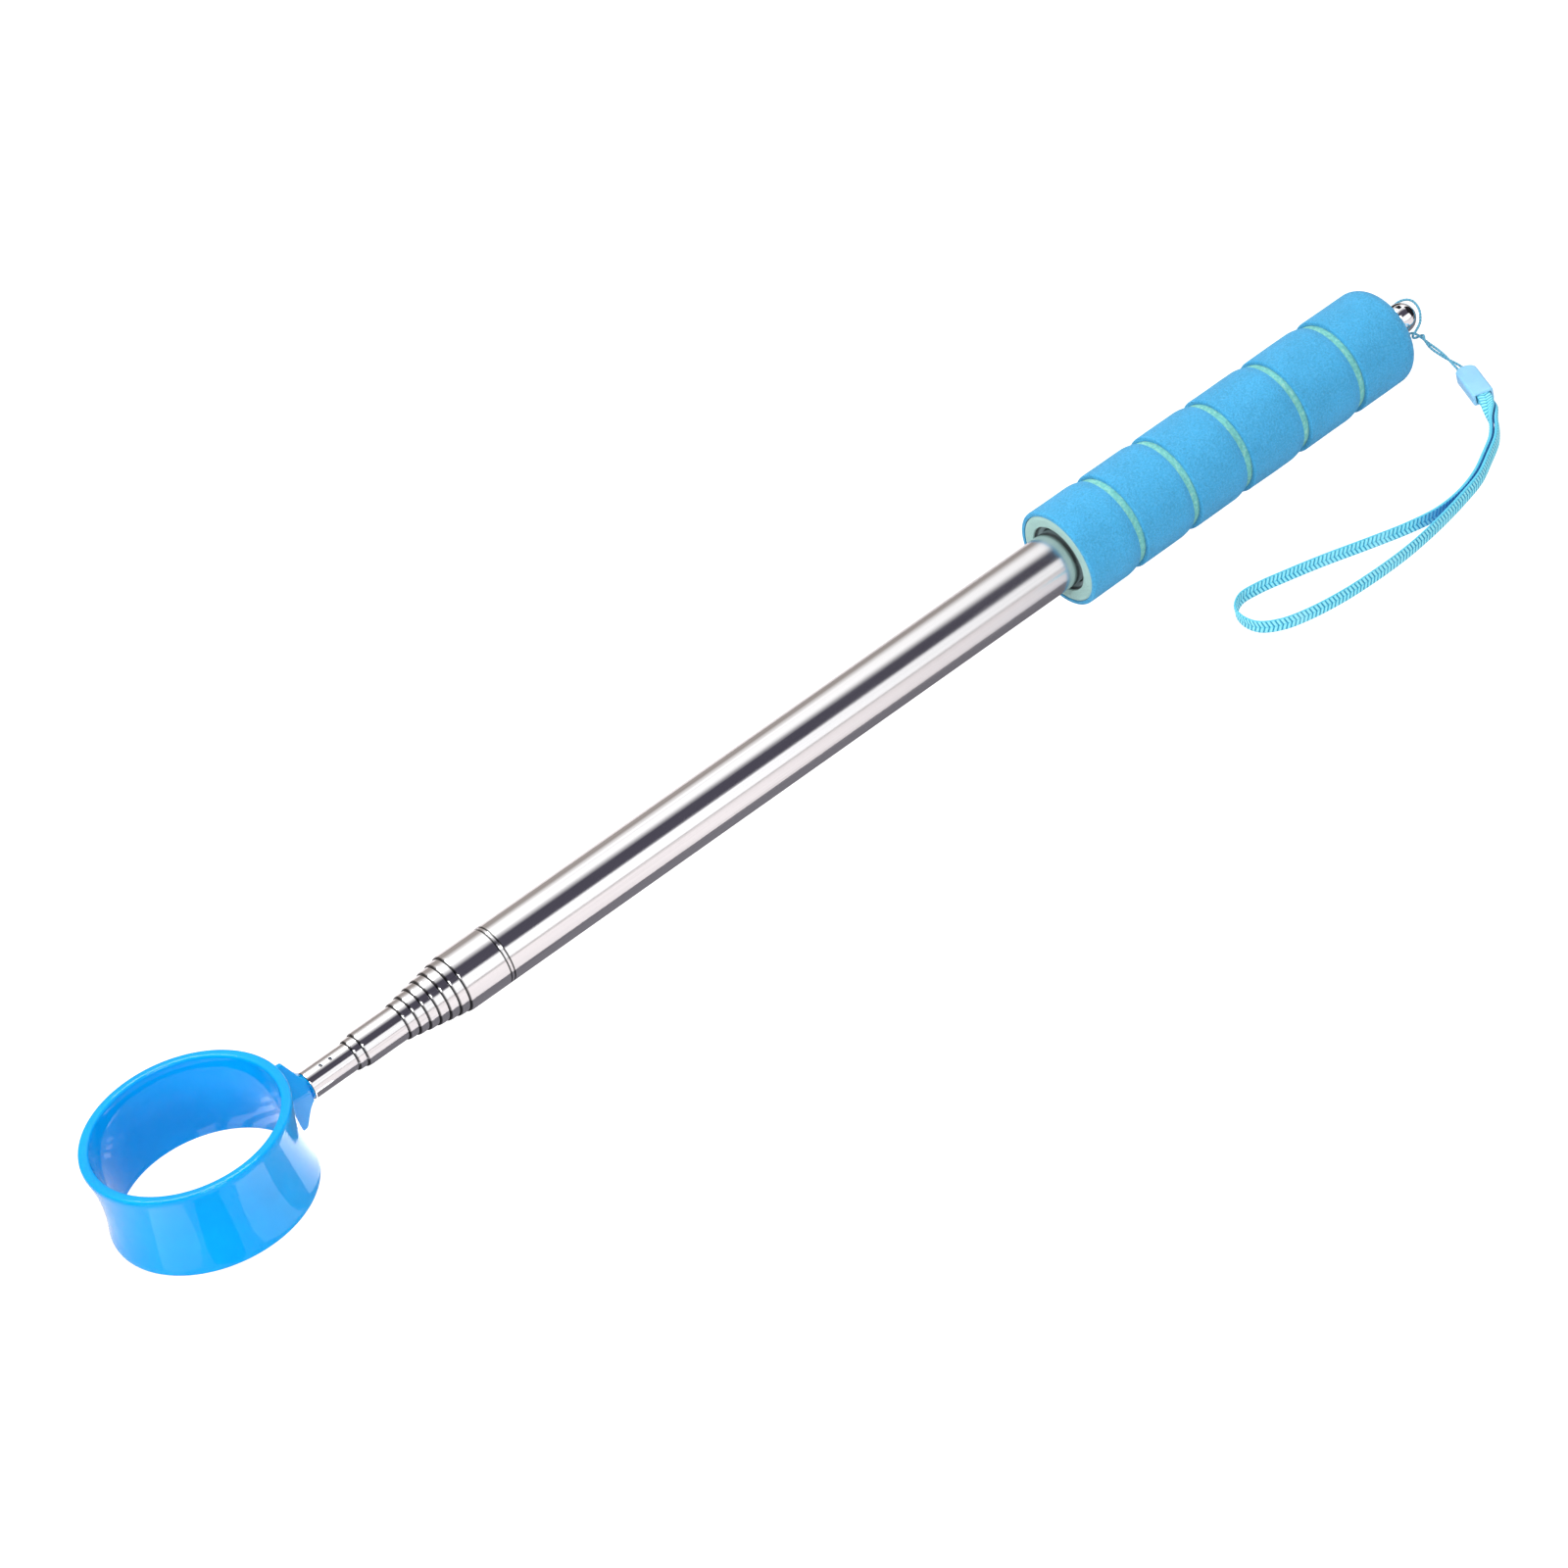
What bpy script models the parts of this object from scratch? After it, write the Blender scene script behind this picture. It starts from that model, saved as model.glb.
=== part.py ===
"""Golf ball retriever: a telescopic steel pole with a plastic cup ring and a foam grip.

The pole runs along X.  The ring that catches the ball is at the -X end and its own
axis is vertical (Z).  The foam grip is at the +X end, with a chrome knob behind it
that carries the wrist strap.  The origin is under the middle of the closed
retriever, at floor height: the grip rests on z = 0.  Lengths are in metres.
"""
import math

import bmesh
import bpy
from mathutils import Vector

# ---------------------------------------------------------------- main dimensions
AXIS_Z = 0.0150            # height of the pole's axis over the floor
OUTER_SIDES = 48           # facets round the outer tube and its collar
TUBE_SIDES = 24            # facets round every sliding tube
GRIP_SIDES = 40            # facets round the foam

# Telescopic pole.  Every section is 1 mm smaller in diameter than the one round it.
STEP = 0.0005              # radius step between two sections
TUBE_R = 0.0085            # outer tube
WALL = 0.00022             # wall of every tube
TAIL_GAP = 0.0003          # gap where two pieces meet face to face
SEAM_X = -0.10813          # butt joint between the outer tube and its collar
COLLAR_FRONT_X = -0.12204
OUTER_TAIL_X = 0.2135
PLUG_FRONT_X = 0.1990      # closed, every section's tail rests against the plug
RADIAL_GAP = STEP - WALL   # space between a section and the bore round it
LIP_LENGTH = 0.0022        # rolled-in front edge of a section
LIP_IN = 0.00013           # how far the rolled edge comes inwards
SLEEVE_LENGTH = 0.0400     # also the overlap left when a section is pulled out
SLEEVE_GAP = 0.00006       # clearance on both faces of a friction sleeve
TAIL_FLARE = 0.00020       # how far a section's tail is flared out behind its sleeve
TAIL_CONE = 0.0010         # length of that flare

# Front edge of each section, from the one inside the collar to the one with the ring.
SHORT_STEP = 0.00296       # how much each of the six large sections shows
SECTION_FRONTS = [
    ("16", COLLAR_FRONT_X - 1 * SHORT_STEP),
    ("15", COLLAR_FRONT_X - 2 * SHORT_STEP),
    ("14", COLLAR_FRONT_X - 3 * SHORT_STEP),
    ("13", COLLAR_FRONT_X - 4 * SHORT_STEP),
    ("12", COLLAR_FRONT_X - 5 * SHORT_STEP),
    ("11", COLLAR_FRONT_X - 6 * SHORT_STEP),
    ("10", -0.1529),
    ("09", -0.1555),
    ("08", -0.1693),
]

# Cup ring.
RING_X = -0.20355
RING_HALF = 0.01295        # half the height of the ring
RING_LIP_R = 0.02820       # outside of the rounded lips
RING_LIP_T = 0.00335       # thickness at the lips
RING_WAIST_R = 0.02695     # outside of the waist
RING_BORE_R = 0.02455      # inside of the waist
LIP_ROUND = 0.0014         # height of the rounded part of a lip
RING_SIDES = 56

# Foam grip.
GRIP_FRONT_X = 0.0929
GRIP_REAR_X = 0.2205
GRIP_R = 0.0150
CORE_R = 0.01365           # mint foam, seen in the grooves
BAND_BORE_R = 0.01375      # inside of the blue skin
GRIP_BORE_R = 0.0088
MOUTH_R = 0.0103           # wider mouth of the bore at the front
MOUTH_DEPTH = 0.0060
GROOVE_X = [0.1121, 0.1327, 0.1533, 0.1755, 0.1977]
GROOVE_WIDTH = 0.0025
EDGE_ROUND = 0.0007        # softened edges of the bands
REAR_ROUND = 0.0050
REAR_WALL = 0.0058         # the last band closes round the back of the core

# Rear plug and knob.
PLUG_REAR_X = 0.2195
KNOB_X = 0.2273
KNOB_R = 0.0045
NECK_R = 0.0020

# Wrist strap.
WEB_WIDTH = 0.0052
WEB_THICK = 0.0010
RUN_OFFSET = 0.00072       # half the distance between the two runs side by side
TWIST_LENGTH = 0.0200      # length over which the webbing turns on its edge
STRING_R = 0.00038
STRING_APART = 0.00075     # each strand's distance from the middle of the connector's hole
STRING_HOLE_R = 0.0013
STRING_KNOT = Vector((0.2269, -0.0052, 0.0119))
KNOT_TURN_R = 0.00115      # the second strand takes one turn round the first at the knot
CONNECTOR_LENGTH = 0.0155
CONNECTOR_WIDTH = 0.0074
CONNECTOR_THICK = 0.0042
POCKET_DEPTH = 0.0075      # pocket for the webbing's ends
WEB_INSIDE = 0.0066        # how far the webbing reaches into the connector
CONNECTOR_REAR = Vector((0.2292, -0.0212, 0.0030))
CONNECTOR_MOUTH = Vector((0.2229, -0.0354, 0.0029))
UP = Vector((0.0, 0.0, 1.0))


# ---------------------------------------------------------------- helpers
def clear_scene():
    """Remove whatever the file holds."""
    for old in list(bpy.data.objects):
        bpy.data.objects.remove(old, do_unlink=True)


def material(name, color, metallic, roughness):
    """One Principled material."""
    mat = bpy.data.materials.new(name)
    mat.use_nodes = True
    shader = mat.node_tree.nodes["Principled BSDF"]
    shader.inputs["Base Color"].default_value = (*color, 1.0)
    shader.inputs["Metallic"].default_value = metallic
    shader.inputs["Roughness"].default_value = roughness
    return mat


def finish(bm, name, mat, origin=(0.0, 0.0, 0.0)):
    """Write a bmesh built in world coordinates to an object with the given origin."""
    bmesh.ops.remove_doubles(bm, verts=bm.verts, dist=1e-7)
    bmesh.ops.recalc_face_normals(bm, faces=bm.faces)
    bmesh.ops.translate(bm, verts=bm.verts, vec=-Vector(origin))
    mesh = bpy.data.meshes.new(name)
    bm.to_mesh(mesh)
    bm.free()
    mesh.materials.append(mat)
    obj = bpy.data.objects.new(name, mesh)
    obj.location = origin
    bpy.context.scene.collection.objects.link(obj)
    return obj


def wire(bm, points, closed):
    """Verts and edges through the points."""
    verts = [bm.verts.new(p) for p in points]
    pairs = list(zip(verts, verts[1:]))
    if closed:
        pairs.append((verts[-1], verts[0]))
    return verts, [bm.edges.new(pair) for pair in pairs]


def turned(profile, sides, closed=True):
    """Body of revolution round the pole's axis; the profile is (x, radius) pairs."""
    bm = bmesh.new()
    points = [(x, 0.0, AXIS_Z + r) for x, r in profile]
    verts, edges = wire(bm, points, closed)
    bmesh.ops.spin(bm, geom=verts + edges, cent=(0.0, 0.0, AXIS_Z), axis=(1.0, 0.0, 0.0),
                   angle=2.0 * math.pi, steps=sides, use_merge=True)
    return bm


def split_turned(profile, sides):
    """Body of revolution with one facet left open as a slot, at the bottom."""
    bm = bmesh.new()
    points = [(x, 0.0, AXIS_Z - r) for x, r in profile]
    verts, edges = wire(bm, points, True)
    face = bm.faces.new(verts)
    bmesh.ops.spin(bm, geom=verts + edges + [face], cent=(0.0, 0.0, AXIS_Z),
                   axis=(1.0, 0.0, 0.0), angle=2.0 * math.pi * (sides - 1) / sides,
                   steps=sides - 1)
    return bm


def loft(sections):
    """Skin over a list of equally long closed loops, closed at both ends."""
    bm = bmesh.new()
    rows = [[bm.verts.new(p) for p in section] for section in sections]
    count = len(rows[0])
    for near, far in zip(rows, rows[1:]):
        for i in range(count):
            j = (i + 1) % count
            bm.faces.new((near[i], near[j], far[j], far[i]))
    bm.faces.new(rows[0])
    bm.faces.new(list(reversed(rows[-1])))
    return bm


def blend(p, q, start, end, t):
    """Point between p and q as t goes from start to end."""
    return p.lerp(q, (t - start) / (end - start))


def smooth_line(points, spacing):
    """Centripetal Catmull-Rom curve through the points, read off at even spacing."""
    pts = [Vector(p) for p in points]
    pts = [2 * pts[0] - pts[1]] + pts + [2 * pts[-1] - pts[-2]]
    fine = []
    for a, b, c, d in zip(pts, pts[1:], pts[2:], pts[3:]):
        t1 = (b - a).length ** 0.5
        t2 = t1 + (c - b).length ** 0.5
        t3 = t2 + (d - c).length ** 0.5
        for k in range(24):
            t = t1 + (t2 - t1) * k / 24.0
            ab = a.lerp(b, t / t1)
            bc = blend(b, c, t1, t2, t)
            cd = blend(c, d, t2, t3, t)
            fine.append(blend(blend(ab, bc, 0.0, t2, t), blend(bc, cd, t1, t3, t), t1, t2, t))
    fine.append(pts[-2])
    total = sum((q - p).length for p, q in zip(fine, fine[1:]))
    count = max(2, round(total / spacing))
    line = [fine[0]]
    walked = 0.0
    for p, q in zip(fine, fine[1:]):
        step = (q - p).length
        while len(line) < count and walked + step >= len(line) * total / count:
            need = len(line) * total / count - walked
            line.append(p.lerp(q, need / step))
        walked += step
    line.append(fine[-1])
    return line


def boolean(target, cutter, operation):
    """Exact Boolean kept as a modifier; the cutter stays in the file, hidden."""
    mod = target.modifiers.new(cutter.name, "BOOLEAN")
    mod.operation = operation
    mod.solver = "EXACT"
    mod.object = cutter
    cutter.hide_render = True
    cutter.hide_viewport = True
    cutter.display_type = "WIRE"
    return mod


def cylinder_between(name, start, end, radius, sides, mat):
    """Cylinder from one point to another."""
    axis = Vector(end) - Vector(start)
    bm = bmesh.new()
    bmesh.ops.create_cone(bm, cap_ends=True, segments=sides, radius1=radius, radius2=radius,
                          depth=axis.length)
    turn = axis.to_track_quat("Z", "Y").to_matrix().to_4x4()
    bmesh.ops.transform(bm, verts=bm.verts, matrix=turn)
    middle = (Vector(start) + Vector(end)) / 2.0
    bmesh.ops.translate(bm, verts=bm.verts, vec=middle)
    return finish(bm, name, mat, tuple(middle))


# ---------------------------------------------------------------- pole
def outer_tube(steel):
    """Outer tube: its nose is drawn down to slip inside the collar."""
    bore = TUBE_R - WALL
    nose_out = TUBE_R - 0.00018
    nose_in = TUBE_R - STEP + 0.00015
    nose_front = COLLAR_FRONT_X + 0.0016
    rear = SEAM_X + TAIL_GAP / 2.0
    profile = [
        (rear, TUBE_R),
        (OUTER_TAIL_X, TUBE_R),
        (OUTER_TAIL_X, bore),
        (rear + 0.0010, bore),
        (rear + 0.0004, nose_in),
        (nose_front, nose_in),
        (nose_front, nose_out),
        (rear, nose_out),
    ]
    return finish(turned(profile, OUTER_SIDES), "outer_tube", steel, (0.0, 0.0, AXIS_Z))


def front_collar(steel):
    """Collar pressed over the nose of the outer tube, with a rolled front edge."""
    rear = SEAM_X - TAIL_GAP / 2.0
    sleeve_in = TUBE_R - 0.00015
    mouth = TUBE_R - STEP + 0.00014
    profile = [
        (COLLAR_FRONT_X, TUBE_R - 0.00015),
        (COLLAR_FRONT_X + 0.0003, TUBE_R),
        (rear - 0.0002, TUBE_R),
        (rear, TUBE_R - 0.00008),
        (rear, sleeve_in),
        (COLLAR_FRONT_X + 0.0013, sleeve_in),
        (COLLAR_FRONT_X + 0.0013, mouth),
        (COLLAR_FRONT_X, mouth),
    ]
    return finish(turned(profile, OUTER_SIDES), "front_collar", steel, (0.0, 0.0, AXIS_Z))


def section(label, front, tail, steel):
    """One sliding tube: rolled front edge, flared tail."""
    radius = int(label) / 2000.0
    bore = radius - WALL
    last = label == SECTION_FRONTS[-1][0]
    lip_in = 0.0 if last else LIP_IN
    profile = [
        (front, radius - 0.00012),
        (front + 0.0003, radius),
        (tail - TAIL_CONE, radius),
        (tail, radius + TAIL_FLARE),
        (tail, bore + TAIL_FLARE),
        (tail - TAIL_CONE, bore),
    ]
    if lip_in:
        profile += [
            (front + LIP_LENGTH, bore),
            (front + LIP_LENGTH - 0.0004, bore - lip_in),
            (front, bore - lip_in),
        ]
    else:
        profile += [(front, bore)]
    return finish(turned(profile, TUBE_SIDES), "section_" + label, steel,
                  (front, 0.0, AXIS_Z))


def sleeve(label, front, tail, brass):
    """Split spring sleeve that gives a section its friction in the bore round it."""
    radius = int(label) / 2000.0
    rear = tail - TAIL_CONE - TAIL_GAP
    inner = radius + SLEEVE_GAP
    outer = radius + RADIAL_GAP - SLEEVE_GAP
    profile = [
        (rear - SLEEVE_LENGTH, inner),
        (rear - SLEEVE_LENGTH, outer),
        (rear, outer),
        (rear, inner),
    ]
    bm = split_turned(profile, TUBE_SIDES)
    return finish(bm, "sleeve_" + label, brass, (front, 0.0, AXIS_Z))


# ---------------------------------------------------------------- ring
def ring_outline():
    """Closed section of the ring wall as (radius, height) pairs."""
    lip_r = RING_LIP_T / 2.0
    lip_mid = RING_LIP_R - lip_r
    lip_bore = RING_LIP_R - RING_LIP_T
    straight = RING_HALF - LIP_ROUND
    outside = []
    inside = []
    for k in range(5):
        h = straight * (1.0 - k / 2.0)
        flare = abs(h / straight) ** 2
        outside.append((RING_WAIST_R + (RING_LIP_R - RING_WAIST_R) * flare, h))
        inside.append((RING_BORE_R + (lip_bore - RING_BORE_R) * flare, h))
    top = []
    for k in range(1, 5):
        a = math.pi * (1.0 - k / 5.0)
        rise = LIP_ROUND * math.sin(a) / math.sin(0.4 * math.pi)
        top.append((lip_mid + lip_r * math.cos(a), straight + rise))
    bottom = [(r, -h) for r, h in reversed(top)]
    return outside + bottom + list(reversed(inside)) + top


def ring_body():
    """The ring itself, turned round its own vertical axis."""
    bm = bmesh.new()
    points = [(RING_X + r, 0.0, AXIS_Z + h) for r, h in ring_outline()]
    verts, edges = wire(bm, points, True)
    bmesh.ops.spin(bm, geom=verts + edges, cent=(RING_X, 0.0, 0.0), axis=(0.0, 0.0, 1.0),
                   angle=2.0 * math.pi, steps=RING_SIDES, use_merge=True)
    return bm


def neck_section(x, half_z, half_y, tip_y):
    """Six-sided section of the neck: a ridge on both sides, flat tips above and below."""
    return [
        (x, -half_y, AXIS_Z),
        (x, -tip_y, AXIS_Z + half_z),
        (x, tip_y, AXIS_Z + half_z),
        (x, half_y, AXIS_Z),
        (x, tip_y, AXIS_Z - half_z),
        (x, -tip_y, AXIS_Z - half_z),
    ]


def ring_head(blue):
    """Ring, fanned neck and the spigot inside the last tube, in one moulding."""
    tube_front = SECTION_FRONTS[-1][1]
    joint = tube_front - TAIL_GAP
    head = finish(ring_body(), "ring_head", blue, (tube_front, 0.0, AXIS_Z))
    wall_x = RING_X + (RING_WAIST_R + RING_BORE_R) / 2.0
    neck = loft([
        neck_section(joint, 0.0038, 0.0026, 0.0019),
        neck_section(joint - 0.0006, 0.0045, 0.0026, 0.0017),
        neck_section(joint - 0.0022, 0.0072, 0.0025, 0.0012),
        neck_section(joint - 0.0040, 0.0110, 0.0024, 0.0007),
        neck_section(joint - 0.0054, 0.0112, 0.0024, 0.0007),
        neck_section(wall_x, 0.0112, 0.0024, 0.0007),
    ])
    fan = finish(neck, "ring_neck_join", blue)
    boolean(head, fan, "UNION")
    spigot = cylinder_between("ring_spigot_join", (joint - 0.004, 0.0, AXIS_Z),
                              (tube_front + 0.0165, 0.0, AXIS_Z), 0.00365, 32, blue)
    shoulder = cylinder_between("ring_shoulder_join", (joint - 0.0020, 0.0, AXIS_Z),
                                (joint, 0.0, AXIS_Z), 0.0037, 32, blue)
    boolean(head, shoulder, "UNION")
    boolean(head, spigot, "UNION")
    return head


def head_pins(head, tube, steel):
    """Two small pins through the last tube's wall hold the spigot."""
    direction = Vector((0.0, -0.23, 0.97)).normalized()
    for number, offset in ((1, 0.0052), (2, 0.0083)):
        centre = Vector((SECTION_FRONTS[-1][1] + offset, 0.0, AXIS_Z))
        outside = centre + direction * 0.0060
        hole = cylinder_between("pin_hole_%d_cut" % number, centre + direction * 0.0012,
                                outside, 0.00055, 12, steel)
        boolean(tube, hole, "DIFFERENCE")
        boolean(head, hole, "DIFFERENCE")
        cylinder_between("head_pin_%d" % number, centre + direction * 0.0015,
                         centre + direction * 0.00385, 0.00045, 12, steel)


# ---------------------------------------------------------------- grip
def grip_core(mint):
    """Mint foam tube under the blue skin, with a wider mouth at the front."""
    rear = GRIP_REAR_X - REAR_WALL - TAIL_GAP
    profile = [
        (GRIP_FRONT_X, MOUTH_R),
        (GRIP_FRONT_X, CORE_R),
        (rear, CORE_R),
        (rear, GRIP_BORE_R),
        (GRIP_FRONT_X + MOUTH_DEPTH, GRIP_BORE_R),
        (GRIP_FRONT_X + MOUTH_DEPTH - 0.0010, MOUTH_R),
    ]
    return finish(turned(profile, GRIP_SIDES), "grip_core", mint, (0.0, 0.0, AXIS_Z))


def grip_band(number, start, end, blue):
    """One blue foam band with softly rounded edges; the last one has a domed back."""
    profile = [
        (start, BAND_BORE_R),
        (start, GRIP_R - EDGE_ROUND),
        (start + EDGE_ROUND, GRIP_R),
    ]
    if number <= len(GROOVE_X):
        profile += [
            (end - EDGE_ROUND, GRIP_R),
            (end, GRIP_R - EDGE_ROUND),
            (end, BAND_BORE_R),
        ]
    else:
        for k in range(7):
            a = math.radians(15.0 * k)
            profile.append((end - REAR_ROUND + REAR_ROUND * math.sin(a),
                            GRIP_R - REAR_ROUND + REAR_ROUND * math.cos(a)))
        profile += [
            (end, GRIP_BORE_R),
            (end - REAR_WALL, GRIP_BORE_R),
            (end - REAR_WALL, BAND_BORE_R),
        ]
    return finish(turned(profile, GRIP_SIDES), "grip_band_%d" % number, blue,
                  (0.0, 0.0, AXIS_Z))


def grip_bands(blue):
    """Six bands with a groove between each two."""
    starts = [GRIP_FRONT_X] + [x + GROOVE_WIDTH / 2.0 for x in GROOVE_X]
    ends = [x - GROOVE_WIDTH / 2.0 for x in GROOVE_X] + [GRIP_REAR_X]
    for number, (start, end) in enumerate(zip(starts, ends), start=1):
        grip_band(number, start, end, blue)


# ---------------------------------------------------------------- rear end
def rear_plug(dark):
    """Plug in the tail of the outer tube, bored for the knob's shank."""
    shoulder = OUTER_TAIL_X + TAIL_GAP
    bore = TUBE_R - WALL - 0.0001
    hole = NECK_R + 0.0001
    profile = [
        (PLUG_FRONT_X, 0.0),
        (PLUG_FRONT_X, bore - 0.0006),
        (PLUG_FRONT_X + 0.0006, bore),
        (shoulder, bore),
        (shoulder, TUBE_R),
        (PLUG_REAR_X - 0.0006, TUBE_R),
        (PLUG_REAR_X, TUBE_R - 0.0006),
        (PLUG_REAR_X, hole),
        (PLUG_REAR_X - 0.0125, hole),
        (PLUG_REAR_X - 0.0125, 0.0),
    ]
    return finish(turned(profile, OUTER_SIDES // 2, closed=False), "rear_plug", dark,
                  (0.0, 0.0, AXIS_Z))


def end_knob(chrome):
    """Chrome ball on a shank that sits in the plug."""
    profile = [
        (PLUG_REAR_X - 0.0120, 0.0),
        (PLUG_REAR_X - 0.0120, NECK_R - 0.0004),
        (PLUG_REAR_X - 0.0116, NECK_R),
    ]
    start = math.asin(NECK_R / KNOB_R)
    steps = 10
    for k in range(steps):
        a = start + (math.pi - start) * k / steps
        profile.append((KNOB_X - KNOB_R * math.cos(a), KNOB_R * math.sin(a)))
    profile.append((KNOB_X + KNOB_R, 0.0))
    return finish(turned(profile, OUTER_SIDES // 2, closed=False), "end_knob", chrome,
                  (KNOB_X, 0.0, AXIS_Z))


# ---------------------------------------------------------------- wrist strap
def connector_frame():
    """Directions along the connector (towards its mouth), across it and up."""
    along = (CONNECTOR_MOUTH - CONNECTOR_REAR).normalized()
    across = UP.cross(along).normalized()
    return along, across, along.cross(across)


def connector_outline(rear, front, width, rounded):
    """Plan outline as (along, across) pairs; the rear end may be rounded."""
    half = width / 2.0
    if rounded:
        outline = []
        for k in range(9):
            a = math.pi * (0.5 + k / 8.0)
            outline.append((rear + 0.75 * half * (1.0 + math.cos(a)), half * math.sin(a)))
    else:
        outline = [(rear, half), (rear, -half)]
    return outline + [(front, -half), (front, half)]


def connector_slab(levels, rear, front, width, rounded):
    """Slab along the connector's axis, as (height, inset) levels from below to above."""
    along, across, up = connector_frame()
    rows = []
    for height, inset in levels:
        outline = connector_outline(rear + inset, front - inset, width - 2.0 * inset, rounded)
        rows.append([CONNECTOR_REAR + along * u + across * v + up * height for u, v in outline])
    return loft(rows)


def strap_connector(pale):
    """Plastic connector: the string goes in at the rounded end, the webbing at the mouth."""
    along, _, _ = connector_frame()
    half = CONNECTOR_THICK / 2.0
    edge = 0.0005
    levels = [(-half, edge), (-half + edge, 0.0), (half - edge, 0.0), (half, edge)]
    body = finish(connector_slab(levels, 0.0, CONNECTOR_LENGTH, CONNECTOR_WIDTH, True),
                  "strap_connector", pale, tuple(CONNECTOR_REAR))
    half = RUN_OFFSET + WEB_THICK / 2.0 + TAIL_GAP
    pocket = finish(connector_slab([(-half, 0.0), (half, 0.0)], CONNECTOR_LENGTH - POCKET_DEPTH,
                                   CONNECTOR_LENGTH + 0.002, WEB_WIDTH + 2.0 * TAIL_GAP, False),
                    "connector_pocket_cut", pale)
    boolean(body, pocket, "DIFFERENCE")
    hole = cylinder_between("connector_hole_cut", CONNECTOR_REAR - along * 0.002,
                            CONNECTOR_REAR + along * 0.0055, STRING_HOLE_R, 16, pale)
    boolean(body, hole, "DIFFERENCE")
    return body


# The two runs of webbing share this line out of the connector, then part.
SHARED_LINE = [
    (0.2225, -0.0364, 0.0029),
    (0.2192, -0.0420, 0.0028),
    (0.2153, -0.0468, 0.0028),
    (0.2100, -0.0518, 0.0028),
    (0.2030, -0.0560, 0.0028),
]
INNER_RUN = [
    (0.1950, -0.0585, 0.0028),
    (0.1860, -0.0597, 0.0028),
    (0.1770, -0.0592, 0.0028),
    (0.1680, -0.0571, 0.0028),
    (0.1560, -0.0531, 0.0028),
    (0.1440, -0.0488, 0.0028),
    (0.1330, -0.0453, 0.0028),
    (0.1240, -0.0432, 0.0028),
    (0.1170, -0.0430, 0.0028),
    (0.1120, -0.0465, 0.0028),
    (0.1100, -0.0520, 0.0028),
]
OUTER_RUN = [
    (0.1110, -0.0570, 0.0028),
    (0.1160, -0.0610, 0.0028),
    (0.1240, -0.0638, 0.0028),
    (0.1350, -0.0661, 0.0028),
    (0.1470, -0.0677, 0.0028),
    (0.1600, -0.0683, 0.0028),
    (0.1730, -0.0674, 0.0028),
    (0.1850, -0.0650, 0.0028),
    (0.1950, -0.0615, 0.0028),
]


def twist(distance):
    """Turn of the webbing from lying flat in the mouth to standing on its edge."""
    part = min(1.0, max(0.0, distance / TWIST_LENGTH))
    return (3.0 - 2.0 * part) * part * part * math.pi / 2.0


def path_direction(line, i):
    """Unit direction of a line at one of its points."""
    return (line[min(len(line) - 1, i + 1)] - line[max(0, i - 1)]).normalized()


def side_run(shared, side):
    """One of the two runs of webbing that lie face to face along the shared line."""
    run = []
    walked = -WEB_INSIDE
    for i, point in enumerate(shared):
        if i:
            walked += (point - shared[i - 1]).length
        flat = UP.cross(path_direction(shared, i)).normalized()
        turn = twist(walked)
        run.append(point + (UP * math.cos(turn) - flat * math.sin(turn)) * RUN_OFFSET * side)
    return run


def strap_route():
    """Middle line of the webbing loop as (point, direction, width direction)."""
    along = (CONNECTOR_MOUTH - CONNECTOR_REAR).normalized()
    deep = CONNECTOR_MOUTH - along * WEB_INSIDE
    shared = smooth_line([deep, CONNECTOR_MOUTH - along * 0.003] + SHARED_LINE, 0.0020)
    inner = side_run(shared, 1.0)
    outer = side_run(shared, -1.0)
    points = inner[::2] + INNER_RUN + OUTER_RUN + list(reversed(outer[::2]))
    line = smooth_line(points, 0.0028)
    total = sum((q - p).length for p, q in zip(line, line[1:]))
    walked = 0.0
    route = []
    for i, point in enumerate(line):
        if i:
            walked += (point - line[i - 1]).length
        direction = path_direction(line, i)
        turn = twist(min(walked, total - walked) - WEB_INSIDE)
        flat = UP.cross(direction).normalized()
        if walked > total / 2.0:
            flat = -flat
        wide = flat * math.cos(turn) + UP * math.sin(turn)
        wide = (wide - direction * wide.dot(direction)).normalized()
        route.append((point, direction, wide))
    return route


def wrist_strap(web):
    """Flat webbing swept along its route."""
    rows = []
    for point, along, wide in strap_route():
        thin = along.cross(wide).normalized()
        w = wide * WEB_WIDTH / 2.0
        t = thin * WEB_THICK / 2.0
        rows.append([point - w - t, point + w - t, point + w + t, point - w + t])
    return finish(loft(rows), "wrist_strap", web, tuple(CONNECTOR_MOUTH))


# The string's loop: from the knot under the neck, up the far side and over the ball.
STRING_LOOP = [
    (0.2256, -0.0044, 0.0122),
    (0.2239, -0.0036, 0.0124),
    (0.2225, -0.0022, 0.0124),
    (0.2219, 0.0000, 0.0122),
    (0.2219, 0.0020, 0.0131),
    (0.2221, 0.0031, 0.0148),
    (0.2231, 0.0042, 0.0158),
    (0.2249, 0.0052, 0.0161),
    (0.2271, 0.0056, 0.0160),
    (0.2293, 0.0049, 0.0164),
    (0.2308, 0.0036, 0.0175),
    (0.2320, 0.0018, 0.0181),
    (0.2327, 0.0002, 0.0179),
    (0.2328, -0.0014, 0.0170),
    (0.2323, -0.0029, 0.0158),
    (0.2313, -0.0040, 0.0146),
    (0.2300, -0.0049, 0.0136),
]
# Where each strand runs between connector and knot: part of the way, aside, above.
FIRST_STRAND = [(0.12, -0.00070, 0.0), (0.42, 0.0, 0.00050), (0.72, 0.00040, 0.0)]
SECOND_STRAND = [(0.66, -0.00055, 0.0), (0.42, 0.0, -0.00050), (0.12, 0.00070, 0.0)]


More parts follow.
